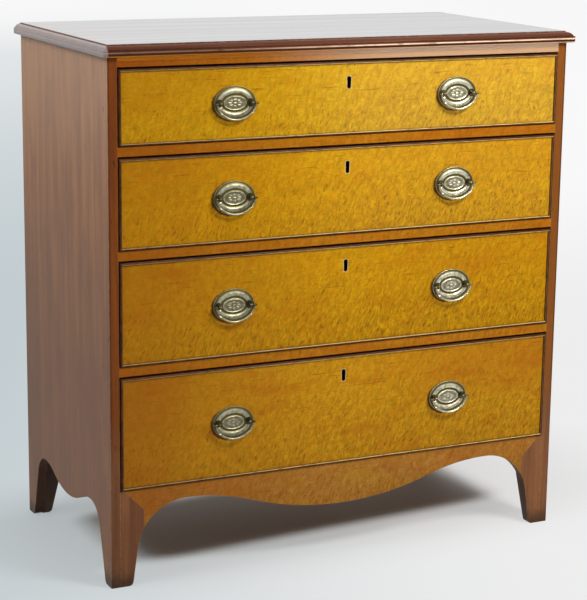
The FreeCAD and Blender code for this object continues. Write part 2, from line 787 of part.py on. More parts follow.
def make_front(drawer):
    """Drawer front: rabbets for the bead, dovetail sockets, groove, keyhole, bolt holes."""
    level = drawer_levels(drawer)
    body = new_body(f"drawer_{drawer}_front")
    prefix = f"front_{drawer}"
    half = f"({HALF_INSIDE} - front_side_gap)"
    floor = OPENING_FLOOR[drawer]
    tall = f"(opening_{drawer} - front_gap - front_top_gap)"
    face = sketch_on(body, "XZ_Plane", prefix + "_face")
    rectangle(face, f"-{half}", f"{floor} + front_gap", f"2 * {half}", tall)
    pad(body, face, "front_thick", reverse=True)
    rabbet = sketch_on(body, "XZ_Plane", prefix + "_rabbet")
    rectangle(rabbet, f"-{half}", f"{floor} + front_gap", f"2 * {half}", tall)
    rectangle(rabbet, f"-{half} + bead_thick", f"{floor} + front_gap + bead_thick",
              f"2 * ({half} - bead_thick)", f"{tall} - 2 * bead_thick")
    pocket(body, rabbet, "bead_depth")
    back = size("front_thick")
    tip = back - size("tail_length")
    for hand in (-1, 1):
        side = "left" if hand < 0 else "right"
        sockets = sketch_on(body, "YZ_Plane", f"{prefix}_sockets_{side}", f"{hand} * {half}")
        for low, high in tails(level["front_low"], level["side_high"]):
            trace(sockets, tail_path(tip, back, low, high))
        pocket(body, sockets, "drawer_side_thick", reverse=hand < 0)
    groove = sketch_on(body, "XZ_Plane", prefix + "_groove", "-front_thick")
    rectangle(groove, f"-{half} + drawer_side_thick - panel_tongue", f"{floor} + panel_lift",
              f"2 * ({half} - drawer_side_thick + panel_tongue)", "panel_thick")
    pocket(body, groove, "panel_tongue + panel_play", reverse=True)
    lock = sketch_on(body, "XZ_Plane", prefix + "_lock_recess", "-front_thick")
    rectangle(lock, "-lock_width / 2", f"{floor} + opening_{drawer} - front_top_gap - lock_height",
              "lock_width", "lock_height")
    pocket(body, lock, "lock_depth", reverse=True)
    centre = opening_floor[drawer] + size(f"opening_{drawer}") - size("key_drop")
    key = sketch_on(body, "XZ_Plane", prefix + "_keyhole")
    trace(key, keyhole_path(centre, 0.0))
    pocket(body, key, "front_thick - lock_depth")
    inlay = sketch_on(body, "XZ_Plane", prefix + "_escutcheon_inlay")
    trace(inlay, keyhole_path(centre, size("escutcheon_line")))
    pocket(body, inlay, "escutcheon_depth")
    bolts = sketch_on(body, "XZ_Plane", prefix + "_post_holes")
    for x in post_places():
        circle(bolts, x, PULL_LEVEL[drawer], "post_shank_radius")
    pocket(body, bolts, "front_thick")
    node(body, f"drawer_{drawer}_front")


def post_places():
    """Formulas for the four posts of a drawer, from left to right."""
    return [f"{side} * pull_spread {arm} post_spacing / 2" for side in (-1, 1) for arm in ("-", "+")]


def make_box(drawer):
    """Drawer sides with their dovetails, the back with its pins, and the bottom."""
    level = drawer_levels(drawer)
    floor = OPENING_FLOOR[drawer]
    half = f"({HALF_INSIDE} - front_side_gap)"
    front_shoulder = size("front_thick")
    front_tip = front_shoulder - size("tail_length")
    rear_shoulder = drawer_length - size("drawer_back_thick")
    side_boards = []
    for hand, side in ((-1, "left"), (1, "right")):
        body = new_body(f"drawer_{drawer}_side_{side}")
        prefix = f"side_{drawer}_{side}"
        bind(body, "Placement.Base.x", f"-{half}" if hand < 0 else f"{half} - drawer_side_thick")
        board = sketch_on(body, "YZ_Plane", prefix + "_board")
        rectangle(board, "front_thick", f"{floor} + slide_gap",
                  f"{DRAWER_LENGTH} - drawer_back_thick - front_thick",
                  f"opening_{drawer} - drawer_side_drop - slide_gap")
        pad(body, board, "drawer_side_thick")
        joints = sketch_on(body, "YZ_Plane", prefix + "_tails")
        for low, high in tails(level["front_low"], level["side_high"]):
            trace(joints, tail_path(front_tip, front_shoulder, low, high))
        for low, high in tails(level["back_low"], level["back_high"]):
            trace(joints, tail_path(drawer_length, rear_shoulder, low, high))
        pad(body, joints, "drawer_side_thick")
        inner = "drawer_side_thick" if hand < 0 else "0"
        groove = sketch_on(body, "YZ_Plane", prefix + "_groove", inner)
        rectangle(groove, "front_thick - tail_length", f"{floor} + panel_lift",
                  f"{DRAWER_LENGTH} - front_thick + tail_length", "panel_thick")
        pocket(body, groove, "panel_tongue", reverse=hand > 0)
        side_boards.append(body)
    group(f"drawer_{drawer}_sides", side_boards)
    back = new_body(f"drawer_{drawer}_back")
    face = sketch_on(back, "XZ_Plane", f"back_{drawer}_face", f"drawer_back_thick - {DRAWER_LENGTH}")
    rectangle(face, f"-{half}", f"{floor} + panel_lift + panel_thick", f"2 * {half}",
              f"opening_{drawer} - drawer_side_drop - drawer_back_drop - panel_lift - panel_thick")
    pad(back, face, "drawer_back_thick", reverse=True)
    for hand in (-1, 1):
        side = "left" if hand < 0 else "right"
        sockets = sketch_on(back, "YZ_Plane", f"back_{drawer}_sockets_{side}", f"{hand} * {half}")
        for low, high in tails(level["back_low"], level["back_high"]):
            trace(sockets, tail_path(drawer_length, rear_shoulder, low, high))
        pocket(back, sockets, "drawer_side_thick", reverse=hand < 0)
    node(back, f"drawer_{drawer}_back")
    make_bottom(drawer, f"({half} - drawer_side_thick)")


def make_bottom(drawer, mouth):
    """A drawer bottom in its grooves, with a field raised on its underside by long bevels."""
    level = f"{OPENING_FLOOR[drawer]} + panel_lift"
    reach = f"({mouth} + panel_tongue - panel_play)"
    tongue = box(f"bottom_{drawer}_tongue", f"-{reach}", "front_thick - panel_tongue", level,
                 f"2 * {reach}", f"{DRAWER_LENGTH} - front_thick + panel_tongue", "panel_thick")
    field = document.addObject("Part::Wedge", f"bottom_{drawer}_field")
    field.Placement = Placement(Vector(), Rotation(Vector(1, 0, 0), -90))
    edge = f"({mouth} - panel_play)"
    length = f"{DRAWER_LENGTH} - front_thick - panel_play"
    for target, formula in (("Xmin", f"-{edge}"), ("Xmax", edge),
                            ("X2min", f"-{edge} + field_slope"), ("X2max", f"{edge} - field_slope"),
                            ("Ymin", "0 * field_thick"), ("Ymax", "field_thick"),
                            ("Zmin", "0 * field_slope"), ("Zmax", length),
                            ("Z2min", "field_slope"), ("Z2max", length),
                            ("Placement.Base.y", f"front_thick + panel_play + {FRONT_PLANE}"),
                            ("Placement.Base.z", level)):
        bind(field, target, formula)
    node(fuse(f"bottom_{drawer}", [tongue, field]), f"drawer_{drawer}_bottom")


def make_bead(drawer):
    """Four mitred cock beads with a rounded nose, let into the front's rabbets."""
    level = drawer_levels(drawer)
    right = half_inside - size("front_side_gap")
    thick = size("bead_thick")
    low = level["front_low"]
    high = level["front_high"]
    outer = [(-right, low), (right, low), (right, high), (-right, high)]
    inner = [(-right + thick, low + thick), (right - thick, low + thick),
             (right - thick, high - thick), (-right + thick, high - thick)]
    nose = -size("bead_proud")
    strips = []
    for start in range(4):
        following = (start + 1) % 4
        corners = [outer[start], outer[following], inner[following], inner[start]]
        points = [Vector(x, nose, z) for x, z in corners]
        prism = Part.Face(Part.makePolygon(points + points[:1])).extrude(
            Vector(0, size("bead_proud") + size("bead_depth"), 0))
        long_edges = [edge for edge in prism.Edges
                      if edge.BoundBox.YMax < nose + thick / 2 and edge.Length > 4 * thick]
        strips.append(prism.makeFillet(size("bead_round"), long_edges))
    bead = document.addObject("Part::Feature", f"drawer_{drawer}_cock_bead")
    bead.Shape = Part.makeCompound(strips)
    bead.Placement = Placement(Vector(0, front_plane, 0), Rotation())
    node(bead, f"drawer_{drawer}_cock_bead")


def make_lock(drawer):
    """Drawer lock with its key pin and inlaid escutcheon, and the bolt that slides up."""
    top = f"({OPENING_FLOOR[drawer]} + opening_{drawer} - front_top_gap)"
    lock = new_body(f"drawer_{drawer}_lock_case")
    face = sketch_on(lock, "XZ_Plane", f"lock_{drawer}_face", "lock_depth - front_thick")
    rectangle(face, "-lock_width / 2", f"{top} - lock_height", "lock_width", "lock_height")
    pad(lock, face, "lock_depth", reverse=True)
    slot = sketch_on(lock, "XY_Plane", f"lock_{drawer}_slot", top)
    rectangle(slot, "-bolt_width / 2 - bolt_gap",
              "front_thick - lock_depth / 2 - bolt_depth / 2 - bolt_gap",
              "bolt_width + 2 * bolt_gap", "bolt_depth + 2 * bolt_gap")
    pocket(lock, slot, "bolt_height + bolt_gap")
    centre = opening_floor[drawer] + size(f"opening_{drawer}") - size("key_drop")
    round_z = f"{OPENING_FLOOR[drawer]} + opening_{drawer} - key_drop + key_height / 2 - key_round_radius"
    key = sketch_on(lock, "XZ_Plane", f"lock_{drawer}_keyhole", "lock_depth - front_thick")
    trace(key, keyhole_path(centre, 0.0))
    pocket(lock, key, "lock_plate")
    pin = sketch_on(lock, "XZ_Plane", f"lock_{drawer}_key_pin", "lock_depth - front_thick - lock_plate")
    circle(pin, "0 * key_pin_radius", round_z, "key_pin_radius")
    pad(lock, pin, "lock_plate + front_thick - lock_depth - escutcheon_depth / 2")
    escutcheon = new_body(f"drawer_{drawer}_escutcheon")
    ring = sketch_on(escutcheon, "XZ_Plane", f"escutcheon_{drawer}_ring")
    trace(ring, keyhole_path(centre, size("escutcheon_line")))
    trace(ring, keyhole_path(centre, 0.0))
    pad(escutcheon, ring, "escutcheon_depth", reverse=True)
    group(f"drawer_{drawer}_lock", [lock, escutcheon])
    node(box(f"drawer_{drawer}_lock_bolt", "-bolt_width / 2",
             "front_thick - lock_depth / 2 - bolt_depth / 2", f"{top} - bolt_height",
             "bolt_width", "bolt_depth", "bolt_height"), f"drawer_{drawer}_lock_bolt")


def oval(centre, width, height, depth):
    """An upright elliptical outline at this depth; centre is (x, z)."""
    x, z = centre
    middle = Vector(x, depth, z)
    ellipse = Part.Ellipse(Vector(x + width / 2, depth, z), Vector(x, depth, z + height / 2), middle)
    return Part.Wire(ellipse.toShape())


def oval_layer(centre, near, far):
    """A solid between two ovals; near and far are (width, height, depth)."""
    return Part.makeLoft([oval(centre, *near), oval(centre, *far)], True, True)


def make_plate(x, z):
    """A stamped oval plate: a flat flange, a raised band, a valley and a dished medallion."""
    centre = (x, z)
    wide = size("plate_width")
    tall = size("plate_height")
    face = -size("plate_thick")
    crest = face - size("band_rise")
    insets = [size("plate_flange")]
    for run in ("band_outer_slope", "band_crown", "band_inner_slope"):
        insets.append(insets[-1] + size(run))
    rings = [(wide - 2 * inset, tall - 2 * inset) for inset in insets]
    medal = (size("medal_width"), size("medal_height"))
    rim = 2 * size("medal_rim_width")
    dish = (medal[0] - rim, medal[1] - rim)
    top = face - size("medal_rise")
    band = oval_layer(centre, (*rings[1], crest), (*rings[0], face))
    band = band.cut(oval_layer(centre, (*rings[2], crest), (*rings[3], face)))
    raised = oval_layer(centre, (*medal, top), (*medal, face))
    raised = raised.cut(oval_layer(centre, (*dish, top), (*dish, top + size("medal_dish"))))
    seats = []
    holes = []
    for arm in (-1, 1):
        mouth = Vector(x + arm * size("post_spacing") / 2, crest, z)
        back = Vector(0, 1, 0)
        seats.append(Part.makeCylinder(size("post_collar_radius") + size("post_collar_gap"),
                                       size("band_rise"), mouth, back))
        holes.append(Part.makeCylinder(size("post_shank_radius"), -crest, mouth, back))
    disc = oval_layer(centre, (wide, tall, face), (wide, tall, 0.0))
    plate = disc.fuse([band.cut(seats), raised]).cut(holes)
    return plate.removeSplitter().Solids[0]


def make_bail(drawer, hand, side, height):
    """A bail of three tangent arcs, with ball shoulders, pointed ears and pins for the posts."""
    prefix = f"bail_{drawer}_{side}"
    centre = f"{hand} * pull_spread"
    half = "(bail_width / 2 - bail_radius)"
    side_radius = "(bail_drop - bail_belly)"
    rise = f"((({half} - {side_radius}) ^ 2 - bail_belly ^ 2) / (2 * bail_belly))"
    offset = size("bail_width") / 2 - size("bail_radius") - size("bail_drop") + size("bail_belly")
    lift = (offset ** 2 - size("bail_belly") ** 2) / (2 * size("bail_belly"))
    turn = math.degrees(math.atan2(offset, lift))

    def arc(name, radius, x, z, start, sweep):
        ring = document.addObject("Part::Torus", f"{prefix}_{name}")
        bind(ring, "Radius1", radius)
        bind(ring, "Radius2", "bail_radius")
        ring.Angle3 = sweep
        ring.Placement = Placement(Vector(), Rotation(Vector(1, 0, 0), 90)
                                   * Rotation(Vector(0, 0, 1), start))
        bind(ring, "Placement.Base.x", x)
        bind(ring, "Placement.Base.y", f"-post_reach + {FRONT_PLANE}")
        bind(ring, "Placement.Base.z", z)
        return ring

    pieces = [
        arc("left_arc", side_radius, f"{centre} - {half} + {side_radius}", height, 180, 90 - turn),
        arc("belly", f"({rise} + bail_drop)", centre, f"{height} + {rise}", 270 - turn, 2 * turn),
        arc("right_arc", side_radius, f"{centre} + {half} - {side_radius}", height,
            270 + turn, 90 - turn),
    ]
    for arm, end in ((-1, "left"), (1, "right")):
        shoulder = f"{centre} + {arm} * {half}"
        pieces.append(sphere(f"{prefix}_{end}_shoulder", "bail_shoulder_radius", shoulder,
                             "-post_reach", height))
        pieces.append(cylinder(f"{prefix}_{end}_pin", "bail_pin_radius",
                               f"{half} - post_spacing / 2 + post_head_radius", shoulder,
                               "-post_reach", height, Vector(-arm, 0, 0)))
        ear = document.addObject("Part::Cone", f"{prefix}_{end}_ear")
        bind(ear, "Radius1", "bail_radius")
        bind(ear, "Radius2", "bail_ear_tip")
        bind(ear, "Height", "bail_ear_length")
        ear.Placement = Placement(Vector(), Rotation(Vector(0, 0, 1), Vector(arm, 0, 0)))
        bind(ear, "Placement.Base.x", shoulder)
        bind(ear, "Placement.Base.y", f"-post_reach + {FRONT_PLANE}")
        bind(ear, "Placement.Base.z", height)
        pieces.append(ear)
    node(fuse(prefix, pieces), f"drawer_{drawer}_bail_{side}")


def make_pulls(drawer):
    """Oval plates, posts with their nuts, and the two bails of a drawer."""
    shown = drawer_levels(drawer)
    level = (shown["front_low"] + shown["front_high"]) / 2
    height = PULL_LEVEL[drawer]
    plate_pair = document.addObject("Part::Feature", f"drawer_{drawer}_pull_plates")
    plate_pair.Shape = Part.makeCompound(
        [make_plate(hand * size("pull_spread"), level) for hand in (-1, 1)])
    plate_pair.Placement = Placement(Vector(0, front_plane, 0), Rotation())
    node(plate_pair, f"drawer_{drawer}_pull_plates")

    posts = []
    for number, x in enumerate(post_places()):
        prefix = f"post_{drawer}_{number}"
        shank = cylinder(prefix + "_shank", "post_shank_radius",
                         "front_thick + nut_thick + plate_thick", x, "-plate_thick", height,
                         Vector(0, 1, 0))
        collar = cylinder(prefix + "_collar", "post_collar_radius", "post_collar_rise", x,
                          "-plate_thick - post_collar_rise", height, Vector(0, 1, 0))
        neck = cylinder(prefix + "_neck", "post_neck_radius", "post_reach - plate_thick", x,
                        "-post_reach", height, Vector(0, 1, 0))
        head = sphere(prefix + "_head", "post_head_radius", x, "-post_reach", height)
        blank = fuse(prefix + "_blank", [shank, collar, neck, head])
        eye = cylinder(prefix + "_eye", "bail_pin_radius + bail_pin_gap", "4 * post_head_radius",
                       f"{x} - 2 * post_head_radius", "-post_reach", height, Vector(1, 0, 0))
        posts.append(cut(prefix, blank, eye))
        nut = box(prefix + "_nut", f"{x} - nut_side / 2", "front_thick", f"{height} - nut_side / 2",
                  "nut_side", "nut_thick", "nut_side")
        bore = cylinder(prefix + "_nut_bore", "post_shank_radius", "2 * nut_thick", x,
                        "front_thick - nut_thick / 2", height, Vector(0, 1, 0))
        posts.append(cut(prefix + "_nut_ring", nut, bore))
    group(f"drawer_{drawer}_pull_posts", posts)

    for hand, side in ((-1, "left"), (1, "right")):
        make_bail(drawer, hand, side, height)


# ---------------------------------------------------------------- build, check and write
make_top()
make_top_screws()
for hand in (-1, 1):
    make_side(hand)
make_rails()
make_inside()
make_apron()
make_brackets()
for drawer in DRAWERS:
    make_front(drawer)
    make_box(drawer)
    make_bead(drawer)
    make_lock(drawer)
    make_pulls(drawer)
document.recompute()

for item in document.Objects:
    if "Invalid" in item.State or "Error" in item.State:
        raise RuntimeError(f"{item.Name} failed to compute: {item.State}")
for item in nodes:
    if item.Shape.isNull() or not item.Shape.isValid() or not item.Shape.Solids:
        raise RuntimeError(f"{item.Label} has no valid solid")

os.makedirs("parts", exist_ok=True)
for item in nodes:
    item.Shape.exportStep(f"parts/{item.Label}.step")
    print(f"{item.Label}: {len(item.Shape.Solids)} solids, {item.Shape.Volume / 1000:.1f} cm3")
print(len(nodes), "nodes")
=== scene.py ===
# %% [markdown]
# # A four-drawer chest in cherry and figured maple
#
# The solids of this chest come ready made, in metres, with the floor at z = 0 and the
# drawer fronts facing -Y.  This lesson dresses them: it lights them softly, gives each
# timber its own grain, and makes the stamped brass pulls, whose relief is too fine for
# plain solids.

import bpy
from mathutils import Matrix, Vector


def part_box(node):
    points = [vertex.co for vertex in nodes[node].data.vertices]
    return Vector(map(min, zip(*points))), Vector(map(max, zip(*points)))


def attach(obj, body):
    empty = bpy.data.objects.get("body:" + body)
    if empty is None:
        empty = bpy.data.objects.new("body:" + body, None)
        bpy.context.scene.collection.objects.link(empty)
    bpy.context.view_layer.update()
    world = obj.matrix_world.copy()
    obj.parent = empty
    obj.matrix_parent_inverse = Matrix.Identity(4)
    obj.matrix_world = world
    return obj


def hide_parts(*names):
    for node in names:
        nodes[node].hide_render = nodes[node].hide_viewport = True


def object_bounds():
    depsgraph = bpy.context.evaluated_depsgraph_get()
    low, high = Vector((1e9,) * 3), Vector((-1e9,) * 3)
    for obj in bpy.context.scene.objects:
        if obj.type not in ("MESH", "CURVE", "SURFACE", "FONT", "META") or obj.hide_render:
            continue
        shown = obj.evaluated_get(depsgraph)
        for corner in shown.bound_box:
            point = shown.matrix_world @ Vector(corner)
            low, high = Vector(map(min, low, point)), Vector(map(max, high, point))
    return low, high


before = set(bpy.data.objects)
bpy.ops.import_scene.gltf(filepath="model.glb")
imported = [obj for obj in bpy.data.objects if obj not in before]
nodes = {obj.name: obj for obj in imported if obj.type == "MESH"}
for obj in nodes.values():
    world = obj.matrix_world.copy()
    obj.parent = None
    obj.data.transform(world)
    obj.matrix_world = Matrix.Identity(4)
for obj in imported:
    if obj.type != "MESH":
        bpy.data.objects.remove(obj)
solid_low, solid_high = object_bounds()
print(f"{len(nodes)} solids, {(solid_high - solid_low).x:.3f} m wide")

# %% The rest of the tools
import math

import bmesh
import bpy
from mathutils import Matrix, Vector

MM = 0.001
DRAWERS = (1, 2, 3, 4)
SIDES = ("left", "right")
front_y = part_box("drawer_1_front")[0].y
case_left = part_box("side_left")[0].x
case_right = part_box("side_right")[1].x
print(f"the fronts lie at y = {front_y:.4f} m, the case is {case_right - case_left:.3f} m wide")

# %% [markdown]
# ## The camera
#
# A chest is best seen from a little above and to one side, so that its front, one end
# and its top all show.  A long lens from four metres away keeps its uprights nearly
# parallel.  The camera is turned about the vertical first, then tipped down, then rolled
# by less than a degree, and each turn is its own matrix.

# %% Camera
def new_object(name, data):
    """An object with this data, at the origin and in the scene."""
    made = bpy.data.objects.new(name, data)
    bpy.context.scene.collection.objects.link(made)
    return made


camera = new_object("camera", bpy.data.cameras.new("camera"))
camera.data.sensor_width = 36.0
camera.data.sensor_fit = "HORIZONTAL"
camera.data.lens = 118.03
camera.matrix_world = (
    Matrix.Translation((-1.6610, -3.46535, 1.3401))
    @ Matrix.Rotation(math.radians(-25.7132), 4, "Z")
    @ Matrix.Rotation(math.radians(90 - 12.8338), 4, "X")
    @ Matrix.Rotation(math.radians(0.7376), 4, "Z")
)
bpy.context.scene.camera = camera
bpy.context.scene.view_settings.view_transform = "Standard"
print(f"camera {camera.matrix_world.translation.length:.2f} m from the chest")

# %% [markdown]
# ## Small helpers for node trees
#
# A material is a tree of nodes.  Written out in full, each node takes four or five lines,
# so `add` makes a node, sets its plain settings, and fills or joins its inputs in one
# call.  The other helpers name the few steps that wood and metal need again and again:
# a product, a noise, a stretch of the coordinates, a remapped value and a layer of colour.

# %% Node helpers
def fill(tree, inputs, links):
    """Join each input to another node's output, or give it a plain value."""
    for socket, source in links.items():
        if isinstance(source, bpy.types.NodeSocket):
            tree.links.new(source, inputs[socket])
        else:
            inputs[socket].default_value = source


def add(tree, kind, links=None, family="ShaderNode", **settings):
    """Add a node of a family, make its plain settings and fill its inputs."""
    made = tree.nodes.new(family + kind)
    for name, setting in settings.items():
        setattr(made, name, setting)
    fill(tree, made.inputs, links or {})
    return made


def calculate(tree, operation, first, second=0.0):
    """One Math node; a step such as ABSOLUTE or FLOOR reads only the first value."""
    return add(tree, "Math", {0: first, 1: second}, operation=operation).outputs[0]


def product(tree, *factors):
    """Values multiplied together, one Math node after another."""
    result = factors[0]
    for factor in factors[1:]:
        result = calculate(tree, "MULTIPLY", result, factor)
    return result


def combined(tree, operation, first, second=(0.0, 0.0, 0.0)):
    """One VectorMath node; a length or a dot product comes out as a plain value."""
    made = add(tree, "VectorMath", {0: first, 1: second}, operation=operation)
    return made.outputs["Value" if operation in ("LENGTH", "DOT_PRODUCT") else "Vector"]


def axes(tree, point):
    """The coordinates X, Y and Z of a point, each on its own."""
    return add(tree, "SeparateXYZ", {0: point}).outputs


def noise(tree, point, scale, detail=2.0, roughness=0.5):
    """Smooth 3-D noise, about 0.5 on average, with this many features per metre."""
    links = {"Vector": point, "Scale": scale, "Detail": detail, "Roughness": roughness}
    return add(tree, "TexNoise", links).outputs[0]


def stretched(tree, point, factors):
    """Coordinates multiplied axis by axis: a small factor draws a pattern out along it."""
    return combined(tree, "MULTIPLY", point, factors)


def remap(tree, value, low, high, first=0.0, last=1.0):
    """Turn values from low to high into first to last, smoothly, and clamp the rest."""
    links = {0: value, 1: low, 2: high, 3: first, 4: last}
    return add(tree, "MapRange", links, interpolation_type="SMOOTHSTEP").outputs[0]


def blended(tree, share, under, over):
    """Lay one colour over another by a share from 0 to 1."""
    return add(tree, "Mix", {0: share, 6: under, 7: over}, data_type="RGBA").outputs[2]


def layered(tree, colour, *layers):
    """Lay colours over the first, one after another; a layer is a share and a colour."""
    for share, over in layers:
        colour = blended(tree, share, colour, over)
    return colour


def tone(red, green, blue):
    """A colour as a paint chart gives it, 0 to 255, turned into the light that nodes use."""
    return tuple((((part / 255) + 0.055) / 1.055) ** 2.4 for part in (red, green, blue)) + (1.0,)


def deeper(colour, red, green=None, blue=None):
    """The same colour with these shares of its light; the first serves for any left out."""
    shares = (red, red if green is None else green, red if blue is None else blue)
    return tuple(part * share for part, share in zip(colour, shares)) + (1.0,)


print("node helpers ready; mid grey is", round(tone(128, 128, 128)[0], 3))

# %% [markdown]
# An effect that several materials share is built once as a node group, with named inputs
# and outputs, and then placed in each material with that material's own values.

# %% Group and material helpers
def new_group(name, inputs, outputs, family="Shader"):
    """An empty group; returns its tree, its input sockets and its output sockets."""
    tree = bpy.data.node_groups.new(name, family + "NodeTree")
    for in_out, sockets in (("INPUT", inputs), ("OUTPUT", outputs)):
        for label, kind in sockets.items():
            tree.interface.new_socket(label, in_out=in_out, socket_type="NodeSocket" + kind)
    entry, leave = tree.nodes.new("NodeGroupInput"), tree.nodes.new("NodeGroupOutput")
    return tree, entry.outputs, leave.inputs


def add_group(tree, group, links):
    """Use a group inside a material, fill its inputs and return its outputs."""
    return add(tree, "Group", links, node_tree=group).outputs


def new_material(name):
    """A material with its tree, its shader and coordinates in metres that ride with the piece."""
    material = bpy.data.materials.new(name)
    material.use_nodes = True
    tree = material.node_tree
    tree.nodes.clear()
    shader = add(tree, "BsdfPrincipled")
    add(tree, "OutputMaterial", {0: shader.outputs[0]})
    return material, tree, shader, add(tree, "TexCoord").outputs["Object"]


def finish_surface(tree, shader, colour, roughness, height, depth, others):
    """Join colour, roughness and a relief, depth metres deep, and fill other inputs."""
    bump = add(tree, "Bump", {"Height": height, "Strength": 1.0, "Distance": depth})
    fill(tree, shader.inputs, {"Base Color": colour, "Roughness": roughness,
                               "Normal": bump.outputs[0], **others})


print("group and material helpers ready")

# %% [markdown]
# ## Straight timber grain
#
# A board is a slice through a bundle of long fibres.  Along the grain almost nothing
# changes, and across it the growth rings pass as soft bands, with fine fibres and short
# dark pores over them.  One noise, drawn out ten to thirty times along the grain, gives
# each of these.  The group takes coordinates whose X already runs along the grain.

# %% Timber grain group
grain_tree, grain_in, grain_out = new_group(
    "timber_grain",
    {"Point": "Vector", "Bands per metre": "Float"},
    {"Bands": "Float", "Fibres": "Float", "Pores": "Float"},
)
sway = noise(grain_tree, stretched(grain_tree, grain_in["Point"], (1.2, 3.0, 3.0)), 1.0, 1.0)
aside = add(grain_tree, "CombineXYZ", {1: product(grain_tree, sway, 0.05),
                                       2: product(grain_tree, sway, 0.04)}).outputs[0]
swayed = combined(grain_tree, "ADD", grain_in["Point"], aside)


def drawn_out(factor, *kind):
    """A noise drawn out along the grain: the smaller the factor, the longer its marks."""
    return noise(grain_tree, stretched(grain_tree, swayed, (factor, 1.0, 1.0)), *kind)


fill(grain_tree, grain_out, {
    "Bands": drawn_out(0.04, grain_in["Bands per metre"], 4.0, 0.62),
    "Fibres": drawn_out(0.03, 520.0, 2.0),
    "Pores": remap(grain_tree, drawn_out(0.09, 900.0, 1.0), 0.63, 0.72),
})
print("timber_grain:", len(grain_tree.nodes), "nodes")

# %% [markdown]
# ## The figure of maple
#
# The fronts are cut from maple with a leaning curl: a soft mottling, a fine sandy grain,
# thin straight lines along the board, and short dark strokes that lean to the right, some
# broad and faint and some fine, thickest low on each front.  Each is its own noise, drawn
# out along its own direction.  A slow noise bends the strokes, so that no two run alike,
# and `Cover` says how thickly they lie.

# %% Maple figure group
LEAN = math.radians(-23)
maple_tree, maple_in, maple_out = new_group(
    "maple_figure",
    {"Point": "Vector", "Shift": "Vector", "Cover": "Float"},
    dict.fromkeys(("Mottle", "Sand", "Lines", "Curl", "Flecks", "Patches"), "Float"),
)


def figure_noise(place, factors, *kind):
    """A noise drawn out by its own factor along, into and up the board."""
    return noise(maple_tree, stretched(maple_tree, place, factors), *kind)


def by_cover(marks, low, high):
    """Strokes where a noise passes a threshold, which a higher cover lowers."""
    raised = calculate(maple_tree, "ADD", marks, product(maple_tree, maple_in["Cover"], 0.2))
    return remap(maple_tree, raised, low, high)


shifted = combined(maple_tree, "ADD", maple_in["Point"], maple_in["Shift"])
wander = add(maple_tree, "TexNoise", {"Vector": shifted, "Scale": 55.0, "Detail": 2.0})
bend = {0: wander.outputs["Color"], 1: (0.014, 0.0, 0.014), 2: shifted}
bent = add(maple_tree, "VectorMath", bend, operation="MULTIPLY_ADD").outputs[0]
leaning = add(maple_tree, "VectorRotate", {"Vector": bent, "Angle": LEAN},
              rotation_type="Y_AXIS").outputs[0]
threads = figure_noise(shifted, (0.06, 0.3, 1.0), 260.0, 3.0, 0.6)
fill(maple_tree, maple_out, {
    "Mottle": figure_noise(leaning, (1.0, 0.4, 0.6), 95.0, 3.0, 0.6),
    "Sand": figure_noise(shifted, (0.6, 0.4, 1.0), 300.0, 3.0, 0.6),
    "Lines": remap(maple_tree, threads, 0.60, 0.70),
    "Curl": by_cover(figure_noise(leaning, (1.0, 0.3, 0.34), 175.0, 3.0, 0.6), 0.46, 0.78),
    "Flecks": by_cover(figure_noise(leaning, (1.0, 0.3, 0.3), 310.0, 1.0, 0.5), 0.66, 0.86),
    "Patches": figure_noise(shifted, (0.5, 0.3, 1.3), 16.0, 3.0, 0.55),
})
print("maple_figure:", len(maple_tree.nodes), "nodes")

# %% [markdown]
# ## Worn edges
#
# Handling rubs the varnish thin along every sharp edge, and the wood shows paler there.
# The Bevel node gives the normal that a rounded edge would have, so where it differs
# from the true normal there is an edge.  The group gives that difference as a mask.

# %% Worn edges group
WORN_RADIUS = 0.0018
worn_tree, worn_in, worn_out = new_group("worn_edges", {"Point": "Vector"}, {"Wear": "Float"})
rounded = add(worn_tree, "Bevel", {"Radius": WORN_RADIUS}, samples=4).outputs[0]
true_normal = add(worn_tree, "NewGeometry").outputs["True Normal"]
likeness = combined(worn_tree, "DOT_PRODUCT", rounded, true_normal)
edge_mask = remap(worn_tree, likeness, 0.99, 0.80)
scuffs = remap(worn_tree, noise(worn_tree, worn_in["Point"], 90.0, 4.0, 0.65), 0.35, 0.6)
fill(worn_tree, worn_out, {"Wear": product(worn_tree, edge_mask, scuffs)})
print("worn_edges:", len(worn_tree.nodes), "nodes")

# %% [markdown]
# ## Grime, painted shadow and keyholes
#
# Polish gathers as a dark ring round each plate, and the ring is moved to the plate's
# lower left, where it is also a painted contact shadow.  The keyholes are painted dark
# inside, as painted shade, and a thin pale line shows where the brass was let in.  Both
# are masks: an ellipse made ragged by a noise, and a slot with rounded ends, placed by the
# box of the drawer's own lock.  A pair of numbers says where a soft edge begins and ends,
# in metres.

# %% Masks round the pulls and the keyholes
PLATE_HALF = (42.0, 32.0)
KEY_DROP = 0.0398
KEY_TALL = (0.0126, 0.0122)
KEY_DEEP = (0.020, 0.018)
BORE_WIDE = (0.0075, 0.0065)
SLOT_WIDE = (0.0042, 0.0039)
LINE_CORE = (0.0016, 0.0092)
LINE_WIDE = (0.0044, 0.0038)


